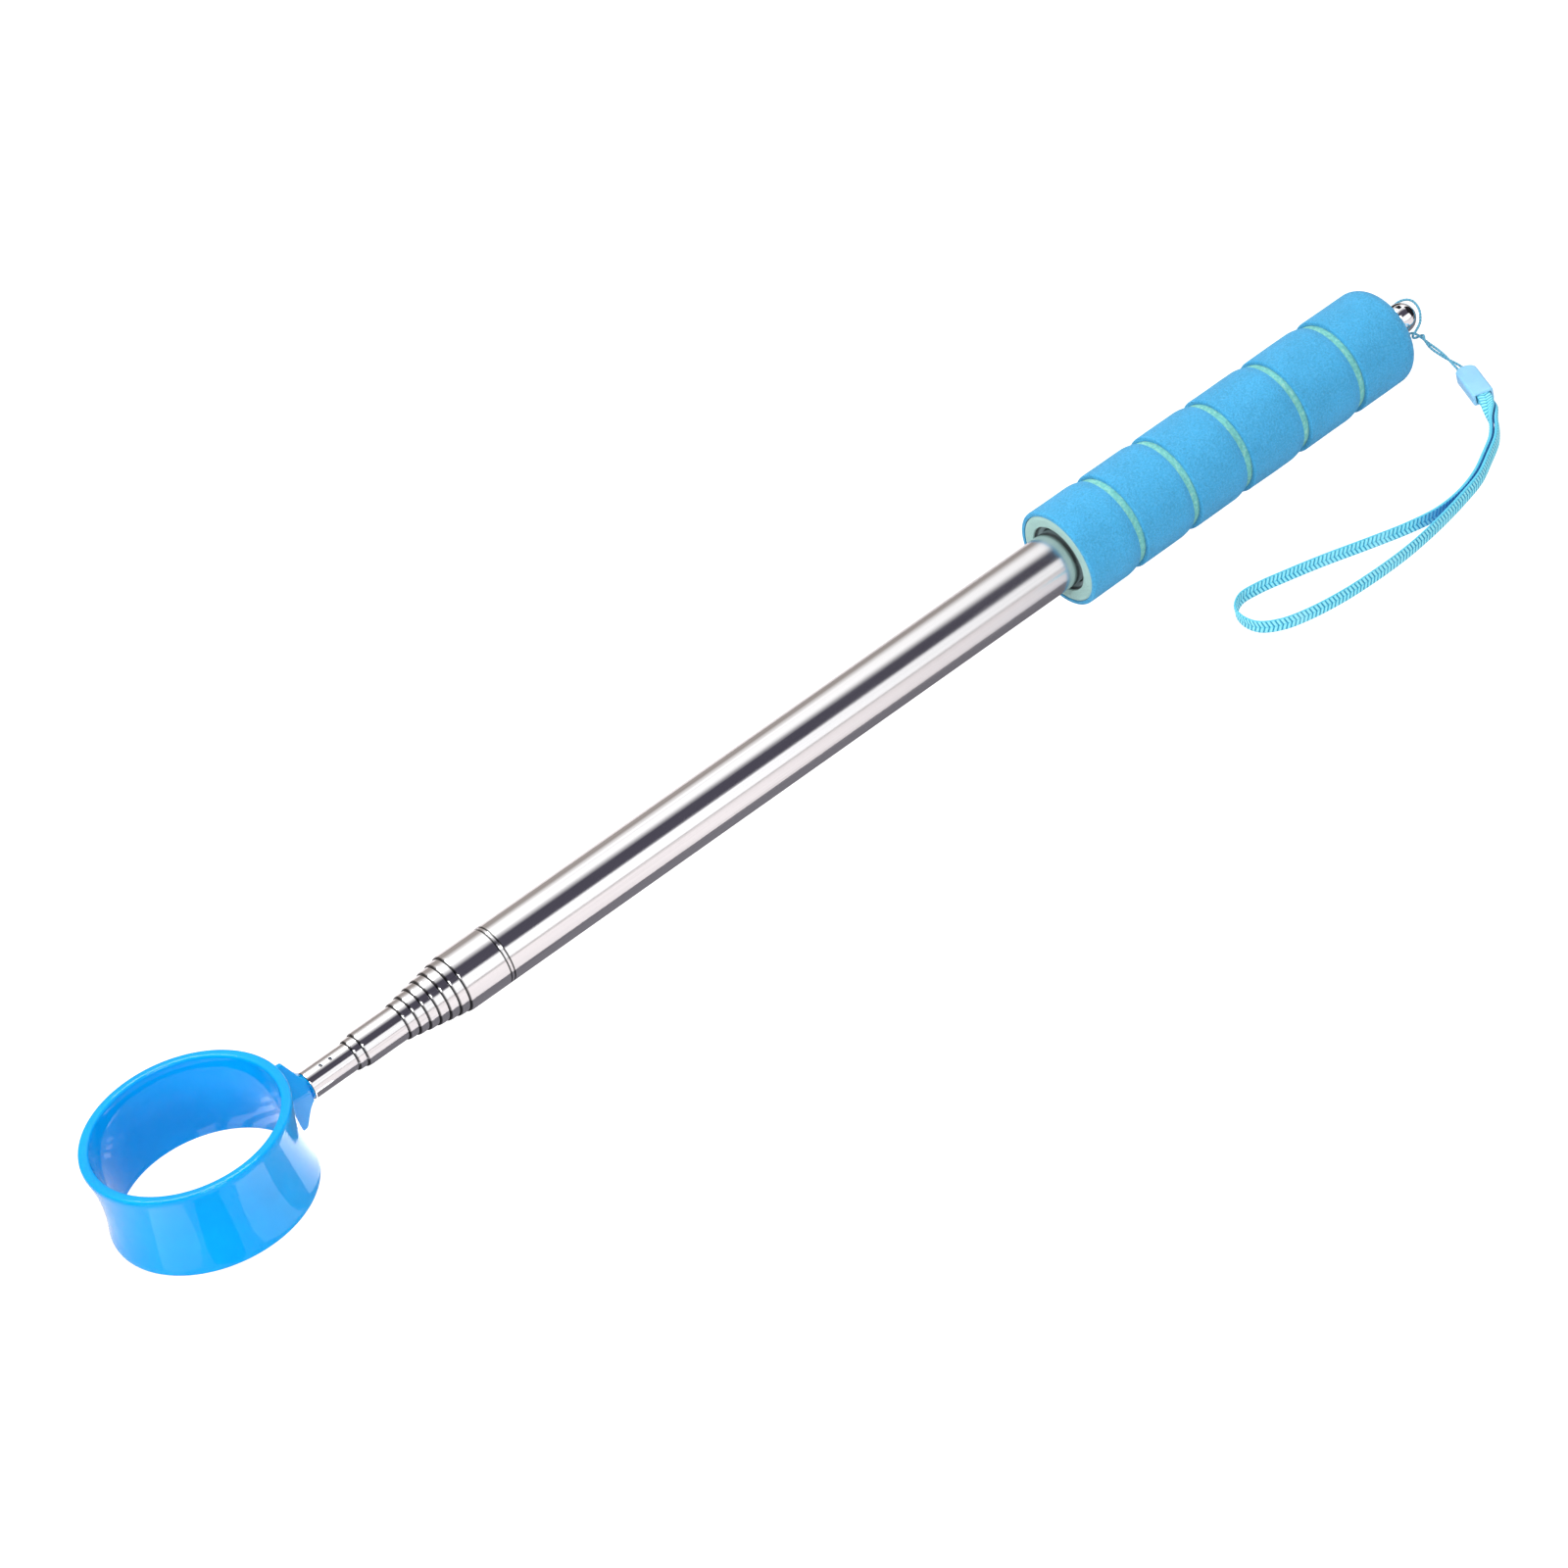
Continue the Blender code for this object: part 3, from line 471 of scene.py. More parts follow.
def woven_webbing():
    """Cyan ribs over teal valleys, each rib made of fine filaments; the valleys' darkness is
    painted shade, the whitened crests a painted highlight, and the inner face gets painted shade
    where the two runs lie together.
    """
    look = Look("webbing", (0.170, 0.760, 0.930), 0.62)
    rib = look.attribute("rib")
    fibres = look.noise(5200.0, 3.0, 0.6)
    worn = look.noise(110.0, 2.0)
    # painted shade: the valleys between the ribs are dark teal
    tone = look.lay((0.016, 0.190, 0.390), (0.130, 0.700, 0.880), rib, 0.08, 0.52)
    # painted highlight: the rib crests turn nearly white
    tone = look.lay(tone, (0.400, 0.930, 1.000), rib, 0.66, 1.0, 0.65)
    tone = look.lay(tone, (0.030, 0.330, 0.560), fibres, 0.42, 0.26, 0.35)
    tone = look.lay(tone, (0.500, 0.900, 0.980), worn, 0.5, 0.8, 0.22)
    tone = look.lay(tone, (0.060, 0.420, 0.640), look.attribute("selvedge"), 0.2, 1.0, 0.40)
    # painted shade: the inner face darkens where the two runs lie close
    tone = look.lay(tone, (0.006, 0.200, 0.560), look.attribute("fold"), 0.15, 0.85, 0.85)
    look.set("Sheen Weight", 0.20)
    look.set("Sheen Roughness", 0.35)
    return look.finish(tone, look.levels(rib, 0.0, 1.0, 0.80, 0.50), (fibres, 0.00004))


def twisted_string():
    """Thin two-ply cord, with painted shade where the plies meet."""
    look = Look("string", (0.130, 0.500, 0.690), 0.60)
    ply = look.attribute("ply")
    fibres = look.noise(4200.0, 3.0, 0.6)
    # painted shade: the crease where the plies meet is darkened
    tone = look.lay((0.020, 0.160, 0.280), (0.130, 0.460, 0.640), ply, 0.05, 0.75)
    tone = look.lay(tone, (0.360, 0.700, 0.820), fibres, 0.55, 0.8, 0.35)
    look.set("Sheen Weight", 0.2)
    return look.finish(tone, look.levels(ply, 0.0, 1.0, 0.75, 0.48), (fibres, 0.00002))


def spring_brass():
    """Rolled brass strip of the friction sleeves, rubbed bright along its length."""
    look = Look("brass_spring", (0.720, 0.500, 0.210), 0.28, 1.0)
    rubs = look.noise((30.0, 3800.0, 3800.0))
    tone = look.lay((0.560, 0.360, 0.130), (0.800, 0.580, 0.280), look.noise(220.0), 0.35, 0.7)
    return look.finish(tone, look.levels(rubs, 0.3, 0.7, 0.18, 0.42), (rubs, 0.000004))


# ---------------------------------------------------------------- mesh helpers
def write_mesh(bm, name, mat, sharp_degrees=38.0):
    """Write a bmesh to a smooth-shaded object with crisp edges."""
    bmesh.ops.recalc_face_normals(bm, faces=bm.faces)
    for face in bm.faces:
        face.smooth = True
    mesh = bpy.data.meshes.new(name)
    bm.to_mesh(mesh)
    bm.free()
    mesh.set_sharp_from_angle(angle=math.radians(sharp_degrees))
    mesh.materials.append(mat)
    obj = bpy.data.objects.new(name, mesh)
    bpy.context.scene.collection.objects.link(obj)
    return obj


def rounded(corners, steps=5):
    """Closed outline with rounded corners; a corner is (along, radius, fillet)."""
    outline = []
    count = len(corners)
    for i, (x, r, fillet) in enumerate(corners):
        here = Vector((x, r))
        before = Vector(corners[i - 1][:2])
        after = Vector(corners[(i + 1) % count][:2])
        if fillet <= 0.0:
            outline.append((x, r))
            continue
        start = here + (before - here).normalized() * min(fillet, 0.49 * (before - here).length)
        stop = here + (after - here).normalized() * min(fillet, 0.49 * (after - here).length)
        for k in range(steps + 1):
            t = k / steps
            point = start * (1 - t) ** 2 + here * 2 * t * (1 - t) + stop * t ** 2
            outline.append((point.x, point.y))
    return outline


def divided(outline, longest):
    """Outline with its long stretches divided, so that a surface has points to move."""
    dense = []
    for (x0, r0), (x1, r1) in zip(outline, outline[1:] + outline[:1]):
        parts = max(1, math.ceil(math.hypot(x1 - x0, r1 - r0) / longest))
        for k in range(parts):
            dense.append((x0 + (x1 - x0) * k / parts, r0 + (r1 - r0) * k / parts))
    return dense


def about_pole(x, r, angle):
    """Point at a distance from the pole's axis; angle 0 is up."""
    return Vector((x, r * math.sin(angle), AXIS_Z + r * math.cos(angle)))


def about_ring(h, r, angle):
    """Point at a height over the ring's middle and a distance from the ring's own axis."""
    return Vector((RING_X + r * math.cos(angle), r * math.sin(angle), AXIS_Z + h))


def revolve(outline, sides, place=about_pole, closed=True, move=None):
    """Body of revolution of an outline; points on the axis become single verts."""
    bm = bmesh.new()
    rings = []
    for along, r in outline:
        if r < 1e-9:
            rings.append([bm.verts.new(place(along, 0.0, 0.0))])
            continue
        ring = []
        for k in range(sides):
            point = place(along, r, 2.0 * math.pi * k / sides)
            ring.append(bm.verts.new(move(point) if move else point))
        rings.append(ring)
    pairs = list(zip(rings, rings[1:]))
    if closed:
        pairs.append((rings[-1], rings[0]))
    for one, two in pairs:
        for k in range(sides):
            n = (k + 1) % sides
            corners = [one[k % len(one)], one[n % len(one)], two[n % len(two)], two[k % len(two)]]
            face = list(dict.fromkeys(corners))
            if len(face) > 2:
                bm.faces.new(face)
    return bm


def skin(bm, rows):
    """Faces over a list of equally long closed loops of verts, and a cap on both ends."""
    count = len(rows[0])
    for near, far in zip(rows, rows[1:]):
        for i in range(count):
            j = (i + 1) % count
            bm.faces.new((near[i], near[j], far[j], far[i]))
    bm.faces.new(rows[0])
    bm.faces.new(list(reversed(rows[-1])))


def loft(sections):
    """Skin over a list of equally long closed loops of points."""
    bm = bmesh.new()
    skin(bm, [[bm.verts.new(p) for p in section] for section in sections])
    return bm


def rod(start, end, radius, sides):
    """Cylinder from one point to another, as a bmesh."""
    start, end = Vector(start), Vector(end)
    bm = bmesh.new()
    bmesh.ops.create_cone(bm, cap_ends=True, segments=sides, radius1=radius, radius2=radius,
                          depth=(end - start).length)
    turn = (end - start).to_track_quat("Z", "Y").to_matrix().to_4x4()
    bmesh.ops.transform(bm, verts=bm.verts, matrix=Matrix.Translation((start + end) / 2) @ turn)
    return bm


def apply_boolean(obj, tool, operation):
    """Combine an object with a bmesh, and keep only the result."""
    other = write_mesh(tool, "tool", obj.data.materials[0])
    mod = obj.modifiers.new("combine", "BOOLEAN")
    mod.operation = operation
    mod.solver = "EXACT"
    mod.object = other
    apply_modifiers(obj)
    bpy.data.objects.remove(other, do_unlink=True)


def apply_modifiers(obj):
    """Write the modified mesh back into the object."""
    bpy.context.view_layer.update()
    result = bpy.data.meshes.new_from_object(
        obj.evaluated_get(bpy.context.evaluated_depsgraph_get()))
    obj.modifiers.clear()
    obj.data = result


def crisp(obj, sharp_degrees=38.0):
    """Smooth shading with sharp edges, after a modifier has made new faces."""
    for face in obj.data.polygons:
        face.use_smooth = True
    obj.data.set_sharp_from_angle(angle=math.radians(sharp_degrees))


def facet(obj, start_x, end_x, degrees):
    """Keep every fold sharper than an angle crisp between two places along X."""
    bm = bmesh.new()
    bm.from_mesh(obj.data)
    for edge in bm.edges:
        inside = all(start_x < vert.co.x < end_x for vert in edge.verts)
        if inside and edge.calc_face_angle(0.0) > math.radians(degrees):
            edge.smooth = False
    bm.to_mesh(obj.data)
    bm.free()


def bevel(obj, width, segments, degrees=32.0):
    """Round the edges that are sharper than an angle."""
    mod = obj.modifiers.new("edge", "BEVEL")
    mod.width = width
    mod.segments = segments
    mod.limit_method = "ANGLE"
    mod.angle_limit = math.radians(degrees)
    mod.harden_normals = False
    apply_modifiers(obj)


def stand_for(obj, body, slot, *nodes):
    """The piece replaces these nodes and rides on their body; the slot is not used."""
    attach(obj, body)
    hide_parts(*nodes)
    return obj


# ---------------------------------------------------------------- pole
def rolled_edge(front, radius, length, depth):
    """Quarter-ellipse outline of a rolled front edge, from its front face to the wall."""
    points = []
    for k in range(11):
        a = math.radians(9.0 * k)
        points.append((front + length * (1.0 - math.cos(a)), radius - depth * (1.0 - math.sin(a))))
    return points


def mark_painted_shade(bm, least_r, *edges):
    """Store painted shade as "edge" beyond a radius: 1 at each (x, reach) and 0 at that reach from
    it.
    """
    layer = bm.verts.layers.float.new("edge")
    for vert in bm.verts:
        r = math.hypot(vert.co.y, vert.co.z - AXIS_Z)
        if r > least_r:
            vert[layer] = max(0.0, *[1.0 - abs(vert.co.x - x) / reach for x, reach in edges])
    return bm


def outer_tube(steel):
    """Outer tube with its drawn-down nose under the collar and a chamfered shoulder."""
    rear = COLLAR_REAR_X + SEAM_WIDTH
    nose_front = COLLAR_FRONT_X + 1.6 * MM
    nose_out = TUBE_R - 0.18 * MM
    nose_in = TUBE_R - STEP + 0.15 * MM
    bore = TUBE_R - WALL
    outline = rounded([
        (rear - SEAM_CHAMFER * 0.5, nose_out, 0.0),
        (rear - SEAM_CHAMFER * 0.5, TUBE_R - SEAM_CHAMFER * 0.6, 0.0),
        (rear + SEAM_CHAMFER, TUBE_R, 0.12 * MM),
        (rear + SEAM_REACH, TUBE_R, 0.0),
        (OUTER_TAIL_X, TUBE_R, 0.08 * MM),
        (OUTER_TAIL_X, bore, 0.08 * MM),
        (rear + 1.0 * MM, bore, 0.0),
        (rear + 0.4 * MM, nose_in, 0.0),
        (nose_front, nose_in, 0.0),
        (nose_front, nose_out, 0.0),
        (COLLAR_REAR_X + BEAD_START, nose_out, 0.0),
        (COLLAR_REAR_X + BEAD_START, TUBE_R + BEAD_RISE, 0.08 * MM),
        (COLLAR_REAR_X + BEAD_END, TUBE_R + BEAD_RISE, 0.08 * MM),
        (COLLAR_REAR_X + BEAD_END, nose_out, 0.0),
    ])
    # painted shade: a dark line on the tube's shoulder just behind the seam
    bm = mark_painted_shade(revolve(outline, TUBE_SIDES), TUBE_R - SHADE_DEPTH,
                    (rear + SHADE_PLACE, SHADE_FADE))
    obj = write_mesh(bm, "outer_tube_drawn", steel)
    return stand_for(obj, "handle", "stainless_steel", "outer_tube")


def front_collar(steel):
    """Collar over the nose, its front edge rolled in and its rear edge chamfered."""
    sleeve_in = TUBE_R - 0.15 * MM
    mouth = TUBE_R - STEP + 0.14 * MM
    inner_step = COLLAR_FRONT_X + 1.3 * MM
    outline = rounded([
        (COLLAR_FRONT_X, mouth, 0.0),
        (COLLAR_FRONT_X + ROLL_LENGTH * 1.5, TUBE_R, 0.0),
        (COLLAR_REAR_X - SEAM_REACH, TUBE_R, 0.0),
        (COLLAR_REAR_X - SEAM_CHAMFER, TUBE_R, 0.12 * MM),
        (COLLAR_REAR_X, TUBE_R - SEAM_CHAMFER * 0.6, 0.0),
        (COLLAR_REAR_X, sleeve_in, 0.0),
        (inner_step, sleeve_in, 0.0),
        (inner_step, mouth, 0.0),
    ])
    rolled = rolled_edge(COLLAR_FRONT_X, TUBE_R, ROLL_LENGTH, ROLL_DEPTH)
    # painted shade: the rolled front edge and a line just before the seam are darkened
    bm = mark_painted_shade(revolve(outline[:1] + rolled + outline[1:], TUBE_SIDES), 0.0,
                    (COLLAR_FRONT_X, ROLL_LENGTH), (COLLAR_REAR_X - SHADE_PLACE, SHADE_FADE))
    obj = write_mesh(bm, "front_collar_rolled", steel)
    return stand_for(obj, "handle", "stainless_steel", "front_collar")


def across_pole(x, span, radius):
    """Rod in the direction of the pins, between two distances from the pole's axis."""
    centre = Vector((x, 0.0, AXIS_Z))
    return rod(*[centre + PIN_DIRECTION * distance for distance in span], radius, 24)


def section(label, steel):
    """One sliding tube: thin wall, rolled front edge and flared tail."""
    radius = int(label) / 2000.0
    bore = radius - WALL
    front, tail = ends("section_" + label, 0)
    last = label == SECTION_LABELS[-1]
    corners = [
        (front + 1.5 * ROLL_LENGTH, radius, 0.0),
        (tail - TAIL_CONE, radius, 0.2 * MM),
        (tail, radius + TAIL_FLARE, 0.06 * MM),
        (tail, bore + TAIL_FLARE, 0.06 * MM),
        (tail - TAIL_CONE, bore, 0.2 * MM),
    ]
    if last:
        corners += [(front, bore, 0.0)]
    else:
        corners += [
            (front + LIP_LENGTH, bore, 0.1 * MM),
            (front + LIP_LENGTH - 0.4 * MM, radius - LIP_DEEP, 0.1 * MM),
            (front, radius - LIP_DEEP, 0.0),
        ]
    length, depth = LAST_ROLL if last else (ROLL_LENGTH, ROLL_DEPTH)
    outline = rounded(corners) + rolled_edge(front, radius, length, depth)
    # painted shade: the rolled front edge is darkened
    bm = mark_painted_shade(revolve(outline, TUBE_SIDES), 0.0, (front, length))
    obj = write_mesh(bm, "section_%s_drawn" % label, steel)
    if last:
        for offset in PIN_OFFSETS:
            hole = across_pole(front + offset, PIN_HOLE_SPAN, PIN_HOLE_R)
            apply_boolean(obj, hole, "DIFFERENCE")
        crisp(obj)
        return stand_for(obj, "head", "stainless_steel_inner", "section_" + label)
    return stand_for(obj, "pole_" + label, "stainless_steel_inner", "section_" + label)


# ---------------------------------------------------------------- ring
def ring_outline():
    """Closed section of the ring wall as (height, radius): waisted, with rounded lips."""
    lip_r = RING_LIP_T / 2.0
    lip_mid = RING_R - lip_r
    straight = RING_HALF - RING_ROUND
    rows = 24
    outside = []
    inside = []
    for k in range(rows + 1):
        h = straight * (1.0 - 2.0 * k / rows)
        flare = (h / straight) ** 2
        outside.append((h, RING_WAIST_R + (RING_R - RING_WAIST_R) * flare))
        inside.append((h, RING_BORE_R + (RING_R - RING_LIP_T - RING_BORE_R) * flare))
    top = []
    for k in range(1, 24):
        a = math.pi * (1.0 - k / 24.0)
        across = math.copysign(abs(math.cos(a)) ** RIM_FLATNESS, math.cos(a))
        top.append((straight + RING_ROUND * math.sin(a) ** RIM_FLATNESS, lip_mid + lip_r * across))
    bottom = [(-h, r) for h, r in reversed(top)]
    return outside + bottom + list(reversed(inside)) + top


def neck_section(joint, back, half_z, half_y, tip_y):
    """Eight-sided section of the neck: a narrow flat ridge on both sides, flat tips."""
    x = joint - back * MM
    z, y, t = half_z * MM, half_y * MM, tip_y * MM
    pairs = [(-y, -NECK_RIDGE), (-y, NECK_RIDGE), (-t, z), (t, z),
             (y, NECK_RIDGE), (y, -NECK_RIDGE), (t, -z), (-t, -z)]
    return [(x, across, AXIS_Z + up) for across, up in pairs]


def ring_head(blue):
    """Ring, fanned neck and the spigot inside the last tube, in one moulding."""
    tube_front = ends("section_08", 0)[0]
    joint = tube_front - JOINT_GAP
    head = write_mesh(revolve(ring_outline(), RING_SIDES, about_ring), "ring_head_moulded", blue)
    sections = [neck_section(joint, *row) for row in NECK]
    wall_x = RING_X + (RING_WAIST_R + RING_BORE_R) / 2.0
    sections.append(neck_section(joint, (joint - wall_x) / MM, *NECK[-1][1:]))
    fan = write_mesh(loft(sections), "neck", blue)
    bevel(fan, NECK_CHAMFER, 1, 9.0)
    fan_bm = bmesh.new()
    fan_bm.from_mesh(fan.data)
    bpy.data.objects.remove(fan, do_unlink=True)
    apply_boolean(head, fan_bm, "UNION")
    spigot = rod((joint - 0.05 * MM, 0.0, AXIS_Z), (tube_front + SPIGOT_LENGTH, 0.0, AXIS_Z),
                 SPIGOT_R, 64)
    apply_boolean(head, spigot, "UNION")
    crisp(head, 30.0)
    facet(head, RING_X + RING_R + 0.2 * MM, joint + 0.05 * MM, 6.0)
    return stand_for(head, "head", "ring_plastic", "ring_head")


def head_pins(steel):
    """Two small domed pins through the last tube's wall."""
    front = ends("section_08", 0)[0]
    for number, offset in enumerate(PIN_OFFSETS, start=1):
        pin = across_pole(front + offset, PIN_SPAN, PIN_R)
        obj = write_mesh(pin, "head_pin_%d_domed" % number, steel)
        bevel(obj, 0.16 * MM, 3, 40.0)
        crisp(obj)
        stand_for(obj, "head", "stainless_steel", "head_pin_%d" % number)


# ---------------------------------------------------------------- grip
def foam_skin(wave, fine):
    """A mover that makes foam a little uneven: broad waves and a fine rough skin."""
    def move(point):
        out = Vector((0.0, point.y, point.z - AXIS_Z)).normalized()
        amount = noise.noise(point * 90.0) * wave + noise.noise(point * 1100.0) * fine
        return point + out * amount
    return move


def grooves():
    """Start and end of each groove between two bands."""
    bands = [ends("grip_band_%d" % n, 0) for n in range(1, BAND_COUNT + 1)]
    return [(one[1], two[0]) for one, two in zip(bands, bands[1:])]


def grip_core(mint):
    """Mint foam tube: the mouth of its bore in front, a low crown in every groove."""
    front, rear = ends("grip_core", 0)
    outline = [(front, CORE_R - 0.5 * MM), (front + 0.3 * MM, CORE_R)]
    for start, end in grooves():
        outline.append((start - 0.4 * MM, CORE_R))
        for k in range(13):
            part = k / 12.0
            crown = GROOVE_CROWN * math.sin(math.pi * part) ** 0.6
            outline.append((start + (end - start) * part, CORE_R + crown))
        outline.append((end + 0.4 * MM, CORE_R))
    outline += [
        (rear, CORE_R),
        (rear, GRIP_BORE_R),
        (front + MOUTH_DEPTH, GRIP_BORE_R),
        (front + MOUTH_DEPTH - 0.9 * MM, MOUTH_R - 0.3 * MM),
        (front + MOUTH_DEPTH - 1.0 * MM, MOUTH_R),
        (front + 0.35 * MM, MOUTH_R),
        (front + 0.08 * MM, MOUTH_R + 0.08 * MM),
        (front, MOUTH_R + 0.30 * MM),
        (front, CORE_R - 1.0 * MM),
    ]
    bm = revolve(outline, GRIP_SIDES, move=foam_skin(0.03 * MM, 0.035 * MM))
    obj = write_mesh(bm, "grip_core_foam", mint)
    return stand_for(obj, "handle", "foam_mint", "grip_core")


def grip_band(number, blue):
    """One blue band: a crisp front shoulder, and a back that eases into the groove."""
    start, end = ends("grip_band_%d" % number, 0)
    outline = rounded([
        (start, BAND_BORE_R, 0.0),
        (start, GRIP_R, FIRST_ROUND if number == 1 else BAND_ROUND),
        (start + 2.0 * MM, GRIP_R, 0.0),
    ])
    if number < BAND_COUNT:
        for k in range(13):
            part = k / 12.0
            drop = SLOPE_DROP * part ** 1.8
            outline.append((end - SLOPE_LENGTH * (1.0 - part), GRIP_R - drop))
        outline += [(end, GRIP_R - SLOPE_DROP - 0.10 * MM), (end, BAND_BORE_R)]
    else:
        for k in range(15):
            a = math.radians(90.0 * k / 14.0)
            outline.append((end - REAR_ROUND * (1.0 - math.sin(a)),
                            GRIP_R - REAR_ROUND * (1.0 - math.cos(a))))
        outline += [
            (end, GRIP_BORE_R + 0.4 * MM),
            (end - 0.4 * MM, GRIP_BORE_R),
            (end - REAR_WALL, GRIP_BORE_R),
            (end - REAR_WALL, BAND_BORE_R),
        ]
    bm = revolve(divided(outline, 0.45 * MM), GRIP_SIDES, move=foam_skin(0.09 * MM, 0.022 * MM))
    obj = write_mesh(bm, "grip_band_%d_foam" % number, blue, 60.0)
    return stand_for(obj, "handle", "foam_blue", "grip_band_%d" % number)


# ---------------------------------------------------------------- rear end
def rear_plug(dark):
    """Plug in the tail of the outer tube, with softened edges."""
    shoulder = OUTER_TAIL_X + JOINT_GAP
    bore = TUBE_R - WALL - 0.1 * MM
    hole = 2.1 * MM
    bottom = PLUG_REAR_X - 12.5 * MM
    outline = [(PLUG_FRONT_X, 0.0)] + rounded([
        (PLUG_FRONT_X, bore, 0.6 * MM),
        (shoulder, bore, 0.0),
        (shoulder, TUBE_R, 0.1 * MM),
        (PLUG_REAR_X, TUBE_R, 0.6 * MM),
        (PLUG_REAR_X - 0.5 * MM, 5.6 * MM, 0.3 * MM),
        (PLUG_REAR_X - 0.5 * MM, 3.6 * MM, 0.3 * MM),
        (PLUG_REAR_X, 3.2 * MM, 0.2 * MM),
        (PLUG_REAR_X, hole, 0.2 * MM),
        (bottom, hole, 0.0),
    ]) + [(bottom, 0.0)]
    obj = write_mesh(revolve(outline, TUBE_SIDES, closed=False), "rear_plug_moulded", dark)
    return stand_for(obj, "handle", "plug_plastic", "rear_plug")


def end_knob(chrome):
    """Chrome ball on its shank, with a fillet where they meet."""
    neck = 2.0 * MM
    start, _ = ends("end_knob", 0)
    outline = [(start, 0.0), (start, neck - 0.4 * MM), (start + 0.4 * MM, neck)]
    meet = math.asin(2.5 * MM / KNOB_R)
    ball_x = KNOB_X - KNOB_R * math.cos(meet)
    outline += [(ball_x - 0.7 * MM, neck), (ball_x - 0.35 * MM, neck + 0.06 * MM),
                (ball_x - 0.12 * MM, neck + 0.22 * MM)]
    for k in range(40):
        a = meet + (math.pi - meet) * k / 40.0
        outline.append((KNOB_X - KNOB_R * math.cos(a), KNOB_R * math.sin(a)))
    outline.append((KNOB_X + KNOB_R, 0.0))
    obj = write_mesh(revolve(outline, 96, closed=False), "end_knob_plated", chrome)
    return stand_for(obj, "handle", "chrome", "end_knob")


# ---------------------------------------------------------------- wrist strap
def connector_frame():
    """Directions along the connector (towards its mouth), across it and up."""
    along = (CONNECTOR_MOUTH - CONNECTOR_REAR).normalized()
    across = UP.cross(along).normalized()
    return along, across, along.cross(across)


def connector_slab(levels, rear, front, width, rounded_rear):
    """Slab along the connector's axis, as (height, inset) levels from below to above."""
    along, across, up = connector_frame()
    rows = []
    for height, inset in levels:
        half = width / 2.0 - inset
        outline = [(front - inset, half)]
        if rounded_rear:
            for k in range(25):
                a = math.pi * (0.5 + k / 24.0)
                reach = 0.80 * half * (1.0 + math.cos(a))
                outline.append((rear + inset + reach, half * math.sin(a)))
        else:
            outline += [(rear + inset, half), (rear + inset, -half)]
        outline.append((front - inset, -half))
        rows.append([CONNECTOR_REAR + along * u + across * v + up * height for u, v in outline])
    return loft(rows)


def strap_connector(pale):
    """Plastic connector with softened edges, a pocket for the webbing and a string hole."""
    along, _, _ = connector_frame()
    half = CONNECTOR_THICK / 2.0
    body = write_mesh(connector_slab([(-half, 0.0), (half, 0.0)], 0.0, CONNECTOR_LENGTH,
                                     CONNECTOR_WIDTH, True), "strap_connector_moulded", pale)
    bevel(body, 0.75 * MM, 5, 40.0)
    pocket_half = RUN_OFFSET + WEB_THICK / 2.0 + 0.3 * MM
    pocket = connector_slab([(-pocket_half, 0.0), (pocket_half, 0.0)],
                            CONNECTOR_LENGTH - POCKET_DEPTH, CONNECTOR_LENGTH + 2.0 * MM,
                            WEB_WIDTH + 0.6 * MM, False)
    apply_boolean(body, pocket, "DIFFERENCE")
    hole = rod(CONNECTOR_REAR - along * 2.0 * MM, CONNECTOR_REAR + along * 5.5 * MM,
               STRING_HOLE_R, 32)
    apply_boolean(body, hole, "DIFFERENCE")
    crisp(body, 35.0)
    return stand_for(body, "handle", "connector_plastic", "strap_connector")


def twist(distance):
    """Turn of the webbing from lying flat in the mouth to standing on its edge."""
    part = min(1.0, max(0.0, distance / TWIST_LENGTH))
    return (3.0 - 2.0 * part) * part * part * math.pi / 2.0


def side_run(shared, side):
    """One of the two runs of webbing that lie face to face along the shared line."""
    run = []
    walked = -WEB_INSIDE
    for i, point in enumerate(shared):
        if i:
            walked += (point - shared[i - 1]).length
        flat = UP.cross(path_direction(shared, i)).normalized()
        turn = twist(walked)
        run.append(point + (UP * math.cos(turn) - flat * math.sin(turn)) * RUN_OFFSET * side)
    return run


def strap_line(spacing):
    """Middle line of the webbing loop."""
    along = (CONNECTOR_MOUTH - CONNECTOR_REAR).normalized()
    deep = CONNECTOR_MOUTH - along * WEB_INSIDE
    shared = smooth_line([deep, CONNECTOR_MOUTH - along * 3.0 * MM] + SHARED_LINE, 2.0 * MM)
    inner = side_run(shared, 1.0)
    outer = side_run(shared, -1.0)
    return smooth_line(inner[::2] + INNER_RUN + OUTER_RUN + list(reversed(outer[::2])), spacing)


def strap_route(spacing):
    """The webbing's line as (point, distance, direction, width direction)."""
    line = strap_line(spacing)
    total = line_length(line)
    walked = 0.0
    route = []
    for i, point in enumerate(line):
        if i:
            walked += (point - line[i - 1]).length
        direction = path_direction(line, i)
        turn = twist(min(walked, total - walked) - WEB_INSIDE)
        flat = UP.cross(direction).normalized()
        if walked > total / 2.0:
            flat = -flat
        wide = flat * math.cos(turn) + UP * math.sin(turn)
        wide = (wide - direction * wide.dot(direction)).normalized()
        route.append((point, walked, direction, wide))
    return route


def rib_height(distance, across):
    """Woven relief from 0 to 1: one chevron over the width, with a seam down the middle."""
    phase = distance / RIB_PITCH + RIB_SLANT * abs(across) ** 0.85
    wave = 0.5 + 0.5 * math.cos(2.0 * math.pi * phase)
    seam = min(1.0, abs(across) * 6.0)
    return min(1.0, wave * 1.35) ** 0.75 * (0.62 + 0.38 * seam)


